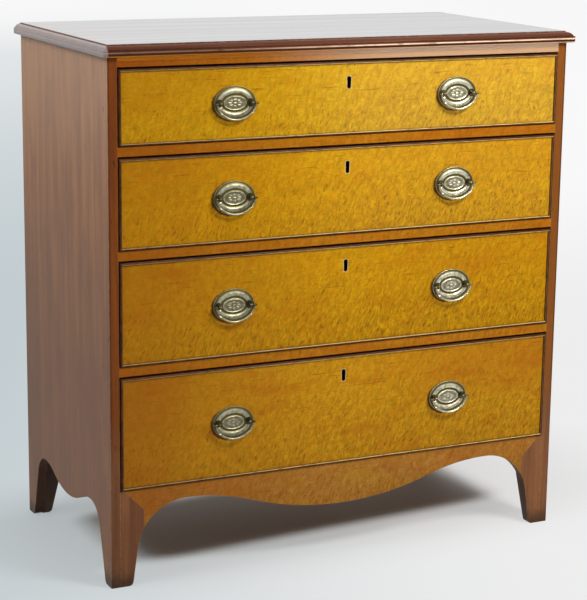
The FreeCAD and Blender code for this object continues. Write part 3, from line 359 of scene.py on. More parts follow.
def grime_and_shadow_round_pulls(tree, point, pulls):
    """A mask of dark polish round the oval plates, moved to their lower left as a painted contact
    shadow.
    """
    low, high = pulls
    half_wide, half_tall = PLATE_HALF[0] * MM, (high.z - low.z) / 2
    x, _, z = axes(tree, point)
    middle = product(tree, calculate(tree, "SIGN", x), high.x - half_wide)
    # The ellipse sits 3 mm left of and 2 mm below each plate: a painted contact shadow.
    beside = calculate(tree, "ADD", calculate(tree, "SUBTRACT", x, middle), 0.003)
    beside = calculate(tree, "DIVIDE", beside, half_wide)
    above = calculate(tree, "SUBTRACT", z, (low.z + high.z) / 2 - 0.002)
    above = calculate(tree, "DIVIDE", above, half_tall)
    squares = calculate(tree, "ADD", product(tree, beside, beside), product(tree, above, above))
    ragged = calculate(tree, "ADD", squares, product(tree, noise(tree, point, 120.0), 0.2))
    return remap(tree, ragged, 1.3, 1.06, 0.0, 0.9)


def keyhole_shade_and_rim_masks(tree, point, lock):
    """Masks of a keyhole's inside and slot, both painted dark as shade, and the pale line round
    it.
    """
    x, y, z = axes(tree, point)
    x = calculate(tree, "ABSOLUTE", x)
    z = calculate(tree, "ABSOLUTE", calculate(tree, "SUBTRACT", z, lock[1].z - KEY_DROP))
    depth = calculate(tree, "SUBTRACT", y, front_y)
    level = product(tree, remap(tree, z, *KEY_TALL), remap(tree, depth, *KEY_DEEP))
    sunk = product(tree, level, remap(tree, depth, 0.0005, 0.002))
    # The bore's sides and the slot are painted near black: painted shade inside the hole.
    inside = product(tree, sunk, remap(tree, x, *BORE_WIDE))
    slot = product(tree, level, remap(tree, x, *SLOT_WIDE))
    past = [calculate(tree, "MAXIMUM", calculate(tree, "SUBTRACT", value, half))
            for value, half in zip((x, z), LINE_CORE)]
    corner = add(tree, "CombineXYZ", {0: past[0], 1: past[1]}).outputs[0]
    rim = remap(tree, combined(tree, "LENGTH", corner), *LINE_WIDE)
    return inside, slot, product(tree, rim, remap(tree, depth, 0.0004, 0.0002))


print(f"grime and keyhole masks ready; keyholes {KEY_DROP / MM:.1f} mm below the locks' tops")

# %% [markdown]
# ## Figured maple, front by front
#
# Every front is its own board, so each gets its own material: the same groups with other
# shifts and tints.  The share of height, 0 at the foot of the board and 1 at its head,
# steers where the flecks lie and where the board is paler.  Its tones are then a list of
# layers, laid one over another as a finisher lays stain and glaze.  Some layers are painted
# light: a darker left half that is partly painted shade, a painted glare to the right, a
# painted band of light along the top rail's head, and painted shade on the apron's inner
# faces, round the plates and in the keyholes.

# %% Figured maple
def figured_maple(name, board, gold, shift, warmth=0.0, cover=0.5, painted_glare=0.0, painted_head_light=0.0,
                  inner_painted_shade=0.0, drawer=None):
    """Maple for one board: its box, its mean tone, how red and flecked it is, and its painted
    light and shade.
    """
    low, high = board
    material, tree, shader, point = new_material(name)
    x, y, z = axes(tree, point)
    across, level = remap(tree, x, low.x, high.x), remap(tree, z, low.z, high.z)
    lower = calculate(tree, "SUBTRACT", 1.0, level)
    thick = calculate(tree, "ADD", lower, product(tree, across, 0.35))
    figure = add_group(tree, maple_tree, {"Point": point, "Shift": shift,
                                          "Cover": product(tree, thick, cover)})
    # Darker orange brown over the left half, more so higher up: partly the maple's own tone,
    # partly painted shade.
    left_stain_and_shade = product(tree, remap(tree, across, 0.55, 0.0, 0.0, 0.36),
                        remap(tree, level, 0.0, 1.0, 0.84, 1.2))
    corner = product(tree, remap(tree, across, 0.5, 1.0), remap(tree, level, 0.3, 0.9))
    thin = product(tree, figure["Lines"], remap(tree, level, 0.1, 0.9, 0.2, 0.65))
    wood = layered(
        tree, deeper(gold, 0.94, 0.85, 0.7),
        (remap(tree, figure["Mottle"], 0.32, 0.68), deeper(gold, 1.07, 1.14, 1.6)),
        (remap(tree, figure["Sand"], 0.35, 0.7, 0.0, 0.5), deeper(gold, 0.62)),
        (remap(tree, figure["Patches"], 0.54, 0.68, 0.0, 0.08 + 0.4 * warmth), tone(176, 84, 12)),
        (remap(tree, figure["Patches"], 0.46, 0.3, 0.0, 0.3 - 0.3 * warmth), tone(178, 140, 14)),
        (left_stain_and_shade, tone(134, 62, 2)),
        (remap(tree, across, 0.1, 0.0, 0.0, 0.1 + 0.35 * warmth), tone(134, 58, 8)),
        (product(tree, corner, 0.5 * warmth), tone(164, 78, 10)),
        (thin, tone(128, 70, 8)),
        (product(tree, figure["Curl"], 0.56), deeper(gold, 0.44)),
        (product(tree, figure["Flecks"], 0.6), tone(110, 56, 8)),
        # Painted shade on the faces behind the front, such as the inner edges of the apron's
        # arches.
        (remap(tree, y, front_y + 0.0005, front_y + 0.002, 0.0, inner_painted_shade), tone(84, 54, 30)),
    )
    # Painted glare: a pale reflection painted in, growing towards the board's right end.
    if painted_glare:
        glare_share = remap(tree, across, 0.15, 0.7, 0.0, painted_glare)
        wood = blended(tree, glare_share, wood, tone(198, 161, 126))
    # Painted light along the head of the board, over the shadow that the top's overhang casts
    # there.
    if painted_head_light:
        head = remap(tree, z, high.z - 0.0085, high.z - 0.0055, 0.0, painted_head_light)
        pale = blended(tree, remap(tree, across, 0.15, 0.7),
                       tone(232, 146, 40), tone(255, 228, 204))
        wood = blended(tree, head, wood, pale)
    if drawer is not None:
        inside, _, line = keyhole_shade_and_rim_masks(tree, point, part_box(f"drawer_{drawer}_lock"))
        grime_and_shadow = grime_and_shadow_round_pulls(tree, point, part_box(f"drawer_{drawer}_pull_plates"))
        # Bare maple behind the front, grime with painted contact shadow, keyhole line and keyhole
        # shade.
        wood = layered(
            tree, wood,
            (remap(tree, y, front_y + 0.008, front_y + 0.010, 0.0, 0.85), tone(184, 144, 98)),
            (grime_and_shadow, tone(58, 24, 6)),
            (product(tree, line, 0.4), tone(208, 186, 150)),
            (inside, KEYHOLE_PAINTED_SHADE),
        )
    gloss = remap(tree, figure["Mottle"], 0.2, 0.8, 0.30, 0.42)
    relief = calculate(tree, "SUBTRACT", figure["Sand"], product(tree, figure["Flecks"], 0.5))
    finish_surface(tree, shader, wood, gloss, relief, 0.00003,
                   {"Specular IOR Level": 0.06, "Coat Weight": 0.04, "Coat Roughness": 0.3})
    return material


# Painted shade inside the keyholes, on the maple and on the locks.
KEYHOLE_PAINTED_SHADE = tone(14, 4, 0)
# The golds darken from the top drawer down: partly each board's own tone, partly painted shade.
FRONT_FINISH = {
    1: dict(gold=tone(219, 167, 12), shift=(3.1, 0.0, 1.7), warmth=0.1, cover=0.5, painted_glare=0.09),
    2: dict(gold=tone(214, 156, 7), shift=(7.4, 0.0, 4.2), warmth=0.25, cover=0.6, painted_glare=0.03),
    3: dict(gold=tone(204, 147, 7), shift=(1.9, 0.0, 8.8), warmth=0.4, cover=0.65),
    4: dict(gold=tone(199, 142, 14), shift=(5.6, 0.0, 2.9), warmth=0.8, cover=0.6),
}
front_maple = {drawer: figured_maple(f"maple_front_{drawer}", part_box(f"drawer_{drawer}_front"),
                                     drawer=drawer, **finish)
               for drawer, finish in FRONT_FINISH.items()}
rail_maple = figured_maple("maple_rails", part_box("drawer_dividers"), tone(184, 116, 14),
                           (2.2, 0.0, 6.1), warmth=0.7, cover=0.3)
# The top rail carries strong painted glare to the right and a painted band of light along its
# head.
maple_with_painted_glare = figured_maple("maple_top_rail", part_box("top_rail"), tone(178, 106, 14),
                           (4.2, 0.0, 7.1), warmth=0.9, cover=0.3, painted_glare=0.85, painted_head_light=0.85)
apron_maple = figured_maple("maple_apron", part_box("apron"), tone(173, 117, 40),
                            (9.3, 0.0, 5.5), warmth=0.3, cover=0.6, inner_painted_shade=0.9)
print(len(front_maple) + 3, "maple materials")

# %% [markdown]
# ## Cherry
#
# Cherry darkens to red brown as it ages.  The broad end boards have faded again in the
# light, while their narrow front edges keep the dark stain of the feet, so the material
# reads how far a point lies behind the fronts and picks the darker finish there.  The
# faces are painted darker low down and paler near the top, as painted shade and painted
# reflection, and the inner edges of the arches are painted dark as shade.

# %% Cherry for the ends and the feet
def turned(tree, point, angles):
    """The same point seen in turned axes, so that X runs along the grain."""
    return add(tree, "Mapping", {"Vector": point, "Rotation": angles}).outputs[0]


UPRIGHT = (0.0, math.radians(90), 0.0)
BACKWARD = (0.0, 0.0, math.radians(90))
LEVEL = (0.0, 0.0, 0.0)
FOOT_PALE = tone(140, 92, 56)
FOOT_DARK = tone(106, 66, 40)


def stained_cherry(name, pale, dark, edge_pale, edge_dark):
    """Cherry with upright grain: two tones of the face and two of the stained front edge."""
    material, tree, shader, point = new_material(name)
    x, y, height = axes(tree, point)
    grain = add_group(tree, grain_tree, {"Point": turned(tree, point, UPRIGHT),
                                         "Bands per metre": 38.0})
    reach = calculate(tree, "ABSOLUTE", x)
    clouds = noise(tree, stretched(tree, point, (1.0, 1.0, 0.35)), 16.0, 3.0, 0.55)
    # The inner edges of the arches, low down and behind the outer face, are painted dark as shade.
    within = product(tree, remap(tree, reach, case_right - 0.0006, case_right - 0.0016),
                     remap(tree, height, 0.21, 0.18, 0.0, 0.85))
    face = layered(
        tree, dark,
        (remap(tree, grain["Bands"], 0.32, 0.68), pale),
        (remap(tree, clouds, 0.45, 0.65, 0.0, 0.4), tone(124, 84, 66)),
        # Painted shade low on the faces, and a paler painted reflection near the top.
        (remap(tree, height, 0.35, 0.95, 0.55, 0.0), tone(112, 74, 52)),
        (remap(tree, height, 0.7, 1.0, 0.0, 0.3), tone(200, 168, 142)),
        (within, tone(62, 42, 32)),
    )
    figure = remap(tree, grain["Bands"], 0.35, 0.7)
    arris = remap(tree, reach, case_right - 0.0045, case_right - 0.0025, 0.0, 0.55)
    stain = layered(
        tree, edge_dark,
        (figure, edge_pale),
        (remap(tree, height, 0.75, 1.0, 0.0, 0.5), tone(128, 62, 8)),
        (remap(tree, x, 0.2, 0.4, 0.0, 0.6), tone(142, 84, 26)),
        (arris, tone(56, 28, 10)),
        (remap(tree, height, 0.36, 0.2), blended(tree, figure, FOOT_DARK, FOOT_PALE)),
    )
    knocks = noise(tree, stretched(tree, point, (1.0, 1.0, 0.25)), 140.0, 2.0)
    near_front = remap(tree, y, front_y + 0.12, front_y)
    marks = product(tree, remap(tree, knocks, 0.70, 0.78), near_front)
    wear = add_group(tree, worn_tree, {"Point": point})["Wear"]
    # Darker in the lowest few centimetres, with a ragged edge.
    ragged_height = calculate(tree, "ADD", height, product(tree, noise(tree, point, 45.0, 3.0), 0.03))
    wood = layered(
        tree, face,
        (remap(tree, y, front_y + 0.0012, front_y + 0.0002), stain),
        (product(tree, grain["Pores"], 0.35), tone(58, 32, 22)),
        (remap(tree, grain["Fibres"], 0.4, 0.7, 0.0, 0.15), tone(70, 40, 28)),
        (product(tree, marks, 0.7), tone(44, 24, 18)),
        (product(tree, wear, 0.55), tone(196, 150, 112)),
        (remap(tree, ragged_height, 0.055, 0.018, 0.0, 0.75), tone(54, 38, 26)),
    )
    gloss = remap(tree, grain["Bands"], 0.2, 0.8, 0.34, 0.46)
    relief = calculate(tree, "SUBTRACT", grain["Fibres"], product(tree, grain["Pores"], 0.6))
    finish_surface(tree, shader, wood, gloss, relief, 0.0001,
                   {"Specular IOR Level": 0.12, "Coat Weight": 0.03, "Coat Roughness": 0.3})
    return material


side_cherry = stained_cherry("cherry_sides", tone(178, 127, 89), tone(147, 98, 64),
                             tone(134, 70, 14), tone(104, 50, 8))
foot_cherry = stained_cherry("cherry_feet", tone(110, 76, 50), tone(84, 56, 38),
                             FOOT_PALE, FOOT_DARK)
print("cherry for the ends and the feet:", side_cherry.name, "and", foot_cherry.name)

# %% [markdown]
# The top is the same timber with its grain across the chest, under a thick polish.  A
# clear coat over a smoother base gives the strong, slightly wavy reflection of a surface
# that was planed by hand and rubbed up for years.  Its moulded front edge has a ledge
# painted dark as shade, a rubbed arris with a painted highlight, a painted shadow in the
# hollow under the moulding and a strip with the tone of the rail, paled to the right by the
# rail's painted glare; its left end is painted a pale grey sheen.  Their depths below the
# upper face come first.

# %% Polished cherry for the top
CORNER = (0.0012, 0.0003)
LEDGE = (0.0100, 0.0010)
ARRIS = (0.0144, 0.0013)
HOLLOW_SHADOW = (0.0158, 0.0164)
RAIL_STRIP = (0.0198, 0.0203)
LEFT_END = (case_left - 0.001, case_left - 0.004)


def polished_cherry():
    """The top: dark red brown on its mouldings with painted shade and highlight, a deep clear coat
    above.
    """
    material, tree, shader, point = new_material("cherry_top")
    x, y, height = axes(tree, point)
    grain = add_group(tree, grain_tree, {"Point": point, "Bands per metre": 30.0})

    def below(depths, *shares):
        """A share that changes between two depths below the upper face."""
        return remap(tree, height, *(solid_high.z - depth for depth in depths), *shares)

    def line(middle, half):
        """1 within half a line's width of a depth below the upper face, and 0 elsewhere."""
        links = {0: height, 1: solid_high.z - middle, 2: half}
        return add(tree, "Math", links, operation="COMPARE").outputs[0]

    case_share = remap(tree, x, *LEFT_END, 1.0, 0.3)
    on_front = remap(tree, x, *LEFT_END[::-1])
    strip = product(tree, below(RAIL_STRIP), remap(tree, y, front_y, front_y - 0.002, 0.0, 0.9))
    # The strip takes the rail's orange, paling to the right like the rail's painted glare.
    rail_tone_and_glare = blended(tree, remap(tree, x, -0.3, 0.2, 0.0, 0.7),
                         tone(196, 116, 30), tone(232, 194, 160))
    patchy = remap(tree, noise(tree, point, 30.0, 3.0), 0.25, 0.5, 0.2, 0.9)
    # A rubbed arris with a painted highlight, patchy and stronger to the right.
    rubbed_and_highlit = product(tree, line(*ARRIS), patchy, remap(tree, x, -0.3, 0.1, 0.15, 1.0))
    upper = below(CORNER)
    wear = add_group(tree, worn_tree, {"Point": point})["Wear"]
    # The ledge is painted near black as shade, and made rough.
    ledge = product(tree, line(*LEDGE), on_front)
    wood = layered(
        tree, tone(76, 36, 18),
        (remap(tree, grain["Bands"], 0.3, 0.7), tone(116, 60, 30)),
        (product(tree, grain["Pores"], 0.4), tone(52, 26, 18)),
        # Painted shadow under the moulding, weaker past the left end.
        (product(tree, below(HOLLOW_SHADOW, 0.0, 0.85), case_share), tone(48, 30, 14)),
        (remap(tree, x, -0.1, 0.3, 0.0, 0.45), tone(52, 24, 10)),
        (product(tree, strip, case_share), rail_tone_and_glare),
        (rubbed_and_highlit, tone(246, 212, 180)),
        (product(tree, upper, 0.5), tone(40, 22, 16)),
        (product(tree, wear, 0.6), tone(206, 160, 120)),
        (product(tree, ledge, 0.8), tone(40, 18, 8)),
        # The left end painted a pale grey sheen, as a grazing reflection.
        (remap(tree, on_front, 0.0, 1.0, 0.42, 0.0), tone(172, 158, 156)),
    )
    gloss = calculate(tree, "MAXIMUM", remap(tree, grain["Bands"], 0.2, 0.8, 0.16, 0.26),
                      product(tree, ledge, 0.95))
    waves = noise(tree, stretched(tree, point, (0.6, 1.0, 1.0)), 14.0, 1.0)
    relief = calculate(tree, "ADD", product(tree, waves, 2.0), grain["Fibres"])
    polish_and_sheen = calculate(tree, "MAXIMUM", remap(tree, x, *LEFT_END, 0.02, 0.55),
                       product(tree, upper, 0.72))
    finish_surface(tree, shader, wood, gloss, relief, 0.00006,
                   {"Coat Weight": polish_and_sheen, "Coat Tint": (0.93, 0.98, 1.0, 1.0),
                    "Specular IOR Level": 0.1, "Coat Roughness": 0.06})
    return material


top_cherry = polished_cherry()
print(f"the dark hollow starts {HOLLOW_SHADOW[0] / MM:.1f} mm below the top")

# %% [markdown]
# ## Beading and bare pine
#
# The cock bead is stained nearly black brown, and its rounded nose is rubbed pale and
# painted with a highlight, most on the level beads and towards the right.  Pine that nobody
# sees was left bare and has gone honey brown; it differs in which way its grain runs.  The
# back is a wall of three boards, so the board's number, found from the height, shifts the
# grain and picks a tone for each.  The upright pine of the rear brackets and glue blocks is
# painted dark brown, as painted shade.

# %% Dark beading
def distance_inside(tree, x, z, low, high):
    """How far, in metres, a point lies inside a drawer's outline, and beside less above."""
    beside, above = (calculate(tree, "MINIMUM", calculate(tree, "SUBTRACT", value, near),
                               calculate(tree, "SUBTRACT", far, value))
                     for value, near, far in ((x, low.x, high.x), (z, low.z, high.z)))
    return calculate(tree, "MINIMUM", beside, above), calculate(tree, "SUBTRACT", beside, above)


def dark_beading(drawer):
    """Stained bead: near black on its outer half, rubbed and painted with a highlight along its
    nose and inner half.
    """
    material, tree, shader, point = new_material(f"dark_bead_{drawer}")
    x, y, z = axes(tree, point)
    inside, upright = distance_inside(tree, x, z, *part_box(f"drawer_{drawer}_cock_bead"))
    speckle = noise(tree, stretched(tree, point, (0.2, 1.0, 0.2)), 420.0, 3.0)
    # Rubbed pale along the nose and painted highlight there, most on level beads and to the right.
    rubbed_and_highlit = product(tree, remap(tree, y, front_y - 0.0018, front_y - 0.0032),
                     remap(tree, inside, 0.0025, 0.0032),
                     remap(tree, noise(tree, point, 60.0, 3.0), 0.3, 0.55, 0.45, 0.85),
                     remap(tree, upright, -0.002, 0.002, 0.12, 1.0),
                     remap(tree, x, -0.46, 0.1, 0.45, 1.0))
    wood = layered(tree, tone(52, 24, 6),
                   (remap(tree, speckle, 0.35, 0.65), tone(86, 44, 14)),
                   (rubbed_and_highlit, tone(216, 180, 110)))
    gloss = remap(tree, speckle, 0.2, 0.8, 0.28, 0.42)
    finish_surface(tree, shader, wood, gloss, speckle, 0.00008, {"Specular IOR Level": 0.15})
    return material


bead_wood = {drawer: dark_beading(drawer) for drawer in DRAWERS}
print(len(bead_wood), "materials for beading")

# %% Bare pine
LAP = 0.008


def bare_pine(name, grain_angles, pale, dark, wall=None):
    """Unvarnished pine with growth bands and saw marks; a wall is three boards, each its own."""
    material, tree, shader, point = new_material(name)
    along = turned(tree, point, grain_angles)
    if wall is not None:
        low, high = wall
        height = calculate(tree, "SUBTRACT", axes(tree, point)["Z"], low.z - LAP)
        board = calculate(tree, "FLOOR", calculate(tree, "DIVIDE", height, (high.z - low.z) / 3))
        chance = add(tree, "TexWhiteNoise", {"W": board}, noise_dimensions="1D").outputs[0]
        moved = add(tree, "CombineXYZ", {0: board, 1: board}).outputs[0]
        along = combined(tree, "ADD", along, moved)
    grain = add_group(tree, grain_tree, {"Point": along, "Bands per metre": 70.0})
    wood = layered(tree, dark, (remap(tree, grain["Bands"], 0.32, 0.68), pale),
                   (product(tree, grain["Pores"], 0.3), tone(112, 72, 40)))
    if wall is not None:
        wood = blended(tree, remap(tree, chance, 0.0, 1.0, 0.0, 0.5), wood, tone(146, 104, 64))
    wear = add_group(tree, worn_tree, {"Point": point})["Wear"]
    wood = layered(
        tree, wood,
        (remap(tree, noise(tree, point, 5.0, 3.0), 0.4, 0.7, 0.0, 0.22), tone(126, 88, 56)),
        (product(tree, wear, 0.5), tone(214, 176, 126)),
    )
    saw = noise(tree, stretched(tree, along, (1.0, 0.06, 0.06)), 300.0, 1.0)
    relief = calculate(tree, "ADD", grain["Fibres"], product(tree, saw, 0.6))
    gloss = remap(tree, grain["Bands"], 0.2, 0.8, 0.62, 0.78)
    finish_surface(tree, shader, wood, gloss, relief, 0.0002, {})
    return material


PINE = (tone(196, 152, 98), tone(160, 112, 64))
pine_across = bare_pine("pine_across", LEVEL, *PINE)
pine_wall = bare_pine("pine_wall", LEVEL, *PINE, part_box("back_boards"))
pine_backward = bare_pine("pine_backward", BACKWARD, tone(202, 160, 106), tone(168, 122, 72))
# The rear brackets and glue blocks get dark pine: painted shade.
upright_pine_in_painted_shade = bare_pine("upright_pine_in_painted_shade", UPRIGHT, tone(84, 58, 42), tone(54, 38, 28))
print("bare pine for four directions and places")

# %% [markdown]
# ## Brass and iron
#
# Stamped brass keeps its polish on the high spots, where hands touch it, and turns a
# dull green grey in the hollows.  The plates carry an attribute named relief, from 0 in
# the deepest hollow to 1 on the crest, which the material reads.  Bails and posts have
# no hollows, so theirs is mottled by noise alone, and their turned ends are duller than
# the drawn rod.  All of it is painted brighter to the right, as a painted reflection.

# %% Brass and iron
def aged_brass(name, dull, bright, reads_relief=False):
    """Brass between a dull and a bright tone; with reads_relief the mesh says where."""
    material, tree, shader, point = new_material(name)
    cloud = noise(tree, point, 160.0, 4.0, 0.6)
    # Painted reflection: all the brass is brighter towards the right.
    polish_and_sheen = product(tree, remap(tree, cloud, 0.3, 0.65, 0.3, 1.0),
                     remap(tree, axes(tree, point)["X"], -0.2, 0.2, 0.45, 1.0))
    if reads_relief:
        high = add(tree, "Attribute", attribute_name="relief").outputs["Fac"]
        polish_and_sheen = product(tree, polish_and_sheen, remap(tree, high, 0.25, 0.9))
    spots = remap(tree, noise(tree, point, 700.0, 2.0), 0.62, 0.72)
    metal = layered(tree, dull, (polish_and_sheen, bright), (product(tree, spots, 0.5), tone(52, 48, 32)))
    gloss = remap(tree, polish_and_sheen, 0.0, 1.0, 0.45, 0.26)
    finish_surface(tree, shader, metal, gloss, cloud, 0.00004, {"Metallic": 1.0})
    return material


def dull_metal(name, dark, pale, coarse, lock=None):
    """Cast or forged metal with a mottled, half matt skin; a lock's keyhole is painted dark as
    shade.
    """
    material, tree, shader, point = new_material(name)
    skin = noise(tree, point, coarse, 4.0, 0.65)
    metal = blended(tree, remap(tree, skin, 0.3, 0.7), dark, pale)
    if lock is not None:
        inside, slot, _ = keyhole_shade_and_rim_masks(tree, point, lock)
        # The keyhole's inside and slot are painted dark as shade.
        metal = blended(tree, calculate(tree, "MAXIMUM", inside, slot), metal, KEYHOLE_PAINTED_SHADE)
    gloss = remap(tree, skin, 0.2, 0.8, 0.35, 0.6)
    finish_surface(tree, shader, metal, gloss, skin, 0.0002, {"Metallic": 1.0})
    return material


stamped_brass = aged_brass("stamped_brass", tone(90, 83, 50), tone(242, 236, 208), True)
drawn_brass = aged_brass("drawn_brass", tone(98, 88, 56), tone(206, 198, 162))
turned_brass = aged_brass("turned_brass", tone(52, 46, 26), tone(124, 114, 84))
lock_brass = {drawer: dull_metal(f"lock_brass_{drawer}", tone(176, 156, 112),
                                 tone(214, 198, 160), 260.0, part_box(f"drawer_{drawer}_lock"))
              for drawer in DRAWERS}
forged_iron = dull_metal("forged_iron", tone(74, 68, 64), tone(122, 116, 110), 220.0)
print("brass and iron ready")

# %% [markdown]
# ## Give every solid its timber
#
# The solids already have the right shapes, so they only need their material slots
# filled.  A table from name to material keeps that in one place.

# %% Assign materials to the solids
TIMBERS = {
    "top_board": top_cherry, "top_screws": forged_iron,
    "side_left": side_cherry, "side_right": side_cherry,
    "front_foot_left": foot_cherry, "front_foot_right": foot_cherry,
    "top_rail": maple_with_painted_glare, "drawer_dividers": rail_maple, "apron": apron_maple,
    "back_boards": pine_wall, "drawer_runners": pine_backward,
    "rear_foot_brackets": upright_pine_in_painted_shade, "glue_blocks": upright_pine_in_painted_shade,
}
for drawer in DRAWERS:
    for part, material in (("front", front_maple[drawer]), ("sides", pine_backward),
                           ("cock_bead", bead_wood[drawer]), ("lock", lock_brass[drawer]),
                           ("lock_bolt", forged_iron), ("pull_posts", turned_brass)):
        TIMBERS[f"drawer_{drawer}_{part}"] = material

for name, solid in nodes.items():
    material = TIMBERS.get(name, pine_across)
    if solid.material_slots:
        for slot in solid.material_slots:
            slot.material = material
    else:
        solid.data.materials.append(material)
print(len(nodes), "solids have their materials")

# %% [markdown]
# ## The stamped oval plates
#
# Each pull has a thin oval plate that was struck in a die: a fine rim, a groove, a broad
# rounded band, a valley, and a raised oval medallion with a small rosette.  Seen from the
# front it is one height for every point, so it is made as rings of points, from the rim
# to the centre, lifted by a table of rises.  Ready-made solids could only step from level
# to level, and the light on the rounded band is what makes such a plate look stamped.

# %% Profile of the stamping
MEDAL_INSET = 19.5
SEAT_RISE, SEAT_RADIUS, SEAT_SLOPE = 1.4, 8.2, 2.4
RIM_WIDE, RIM_RELIEF = 1.5, 0.55
LOWEST, CREST = 0.9, 3.4
PROFILE = (
    (0.0, LOWEST), (0.4, 1.35), (1.1, 1.4), (1.8, 1.05), (2.5, 0.95), (3.3, 1.2), (4.6, 1.7),
    (6.2, 2.4), (7.8, 2.95), (9.4, 3.3), (10.8, CREST), (12.2, 3.1), (13.6, 2.35), (14.9, 1.5),
    (16.0, 1.2), (17.4, 1.2), (18.1, 1.6), (18.7, 2.4), (19.2, 2.9), (19.5, 3.0),
)


def eased(share):
    """A step from 0 to 1 with a soft start and end."""
    share = min(max(share, 0.0), 1.0)
    return share * share * (3 - 2 * share)


def rise_at(inset):
    """Height of the stamping, in mm, this far inside its edge."""
    for (near, low), (far, high) in zip(PROFILE, PROFILE[1:]):
        if inset <= far:
            return low + (high - low) * (inset - near) / (far - near)
    return PROFILE[-1][1]


def rosette(share, angle):
    """Rise inside the medallion: share is 1 at its rim and 0 at its centre."""
    rim = 3.0 - 0.95 * eased((0.97 - share) / 0.1)
    beads = 0.4 * eased(1 - abs(share - 0.79) / 0.07) * (0.5 + 0.5 * math.cos(26 * angle))
    petals = 0.8 * eased(1 - abs(share - 0.45) / 0.27) * abs(math.cos(4 * angle)) ** 0.7
    boss = 0.8 * eased((0.2 - share) / 0.12)
    return rim + beads + petals + boss


print(f"crest of the band {CREST} mm, centre {rosette(0, 0):.2f} mm")

# %% Build one plate
def as_mesh(name, draft):
    """Turn a draft of points and faces into a mesh."""
    mesh = bpy.data.meshes.new(name)
    draft.to_mesh(mesh)
    draft.free()
    return mesh


def stamped_plate(seats, steps=144):
    """One plate as a closed mesh around the origin, its back on y = 0, facing -Y."""
    sheet = bmesh.new()
    relief = sheet.verts.layers.float.new("relief")
    insets = [0.0, 0.2, 0.4, 0.75, 1.1, 1.5, 1.8, 2.15, 2.5, 2.9, 3.3] + [
        3.3 + 0.65 * count for count in range(1, 25)] + [19.2, 19.5]
    shares = [1 - count / 22 for count in range(1, 22)]
    wide, tall = PLATE_HALF
    rings = [(wide - inset, tall - inset, inset, None) for inset in insets]
    rings += [((wide - MEDAL_INSET) * share, (tall - MEDAL_INSET) * share, None, share)
              for share in shares]
    rows = []
    for half_wide, half_tall, inset, share in rings:
        row = []
        for step in range(steps):
            angle = 2 * math.pi * step / steps
            x, z = half_wide * math.cos(angle), half_tall * math.sin(angle)
            rise = rise_at(inset) if share is None else rosette(share, angle)
            seat = min(math.hypot(x - place, z) for place in seats)
            rise += (SEAT_RISE - rise) * eased((SEAT_RADIUS - seat) / SEAT_SLOPE)
            point = sheet.verts.new((x * MM, -rise * MM, z * MM))
            on_rim = inset is not None and inset < RIM_WIDE
            point[relief] = RIM_RELIEF if on_rim else (rise - LOWEST) / (CREST - LOWEST)
            row.append(point)
        rows.append(row)
    centre = sheet.verts.new((0, -rosette(0.0, 0.0) * MM, 0))
    centre[relief] = 1.0
    back = [sheet.verts.new((point.co.x, 0, point.co.z)) for point in rows[0]]
    for outer, inner in zip([back] + rows, rows):
        for step in range(steps):
            after = (step + 1) % steps
            sheet.faces.new((outer[step], outer[after], inner[after], inner[step]))
    for step in range(steps):
        sheet.faces.new((rows[-1][step], rows[-1][(step + 1) % steps], centre))
    sheet.faces.new(back)
    bmesh.ops.recalc_face_normals(sheet, faces=sheet.faces)
    for face in sheet.faces:
        face.smooth = len(face.verts) < 5
    return as_mesh("stamped_plate", sheet)


POST_SPACING = 63.0
plate_mesh = stamped_plate((-POST_SPACING / 2, POST_SPACING / 2))
print("one plate has", len(plate_mesh.polygons), "faces")

# %% [markdown]
# ## Repeat a piece along a row
#
# Every drawer has two plates, the same distance apart.  Geometry Nodes can place copies
# on the points of a line: the tree takes the piece, the pitch and the material as named
# inputs, puts one instance on each point, and makes the instances real.

# %% Row tree
def row_tree():
    """Geometry Nodes: two copies of the piece, centred, this pitch apart along X."""
    tree, entry, leave = new_group(
        "pair_in_a_row", {"Geometry": "Geometry", "Pitch": "Float", "Finish": "Material"},
        {"Geometry": "Geometry"}, "Geometry")
    half = calculate(tree, "MULTIPLY", entry["Pitch"], -0.5)
    start, step = (add(tree, "CombineXYZ", {0: reach}).outputs[0]
                   for reach in (half, entry["Pitch"]))
    family = "GeometryNode"
    line = add(tree, "MeshLine", {"Count": 2, "Start Location": start, "Offset": step}, family,
               mode="OFFSET").outputs[0]
    copies = add(tree, "InstanceOnPoints", {"Points": line, "Instance": entry["Geometry"]}, family)
    real = add(tree, "RealizeInstances", {0: copies.outputs[0]}, family).outputs[0]
    paint = add(tree, "SetMaterial", {"Geometry": real, "Material": entry["Finish"]}, family)
    fill(tree, leave, {0: paint.outputs[0]})
    return tree


pair_tree = row_tree()
print(pair_tree.name + ":", len(pair_tree.nodes), "nodes")

# %% Make a pair
def as_pair(name, mesh, pitch, material):
    """Run the tree on a mesh and return its result as a plain object at the origin."""
    source = new_object(name + "_source", mesh)
    modifier = source.modifiers.new("row", "NODES")
    modifier.node_group = pair_tree
    sockets = {item.name: item.identifier for item in pair_tree.interface.items_tree
               if item.in_out == "INPUT"}
    modifier[sockets["Pitch"]] = pitch
    modifier[sockets["Finish"]] = material
    bpy.context.view_layer.update()
    finished = source.evaluated_get(bpy.context.evaluated_depsgraph_get())
    result = bpy.data.meshes.new_from_object(finished)
    bpy.data.objects.remove(source)
    return new_object(name, result)


# %% Place the plates
for drawer in DRAWERS:
    low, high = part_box(f"drawer_{drawer}_pull_plates")
    pitch = high.x - low.x - 2 * PLATE_HALF[0] * MM
    plates = as_pair(f"drawer_{drawer}_oval_plates", plate_mesh, pitch, stamped_brass)
    plates.data.transform(Matrix.Translation((0, high.y, (low.z + high.z) / 2)))
    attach(plates, f"drawer_{drawer}")
    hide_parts(f"drawer_{drawer}_pull_plates")
print(f"pulls {pitch:.3f} m apart, {len(plates.data.polygons)} faces a pair")

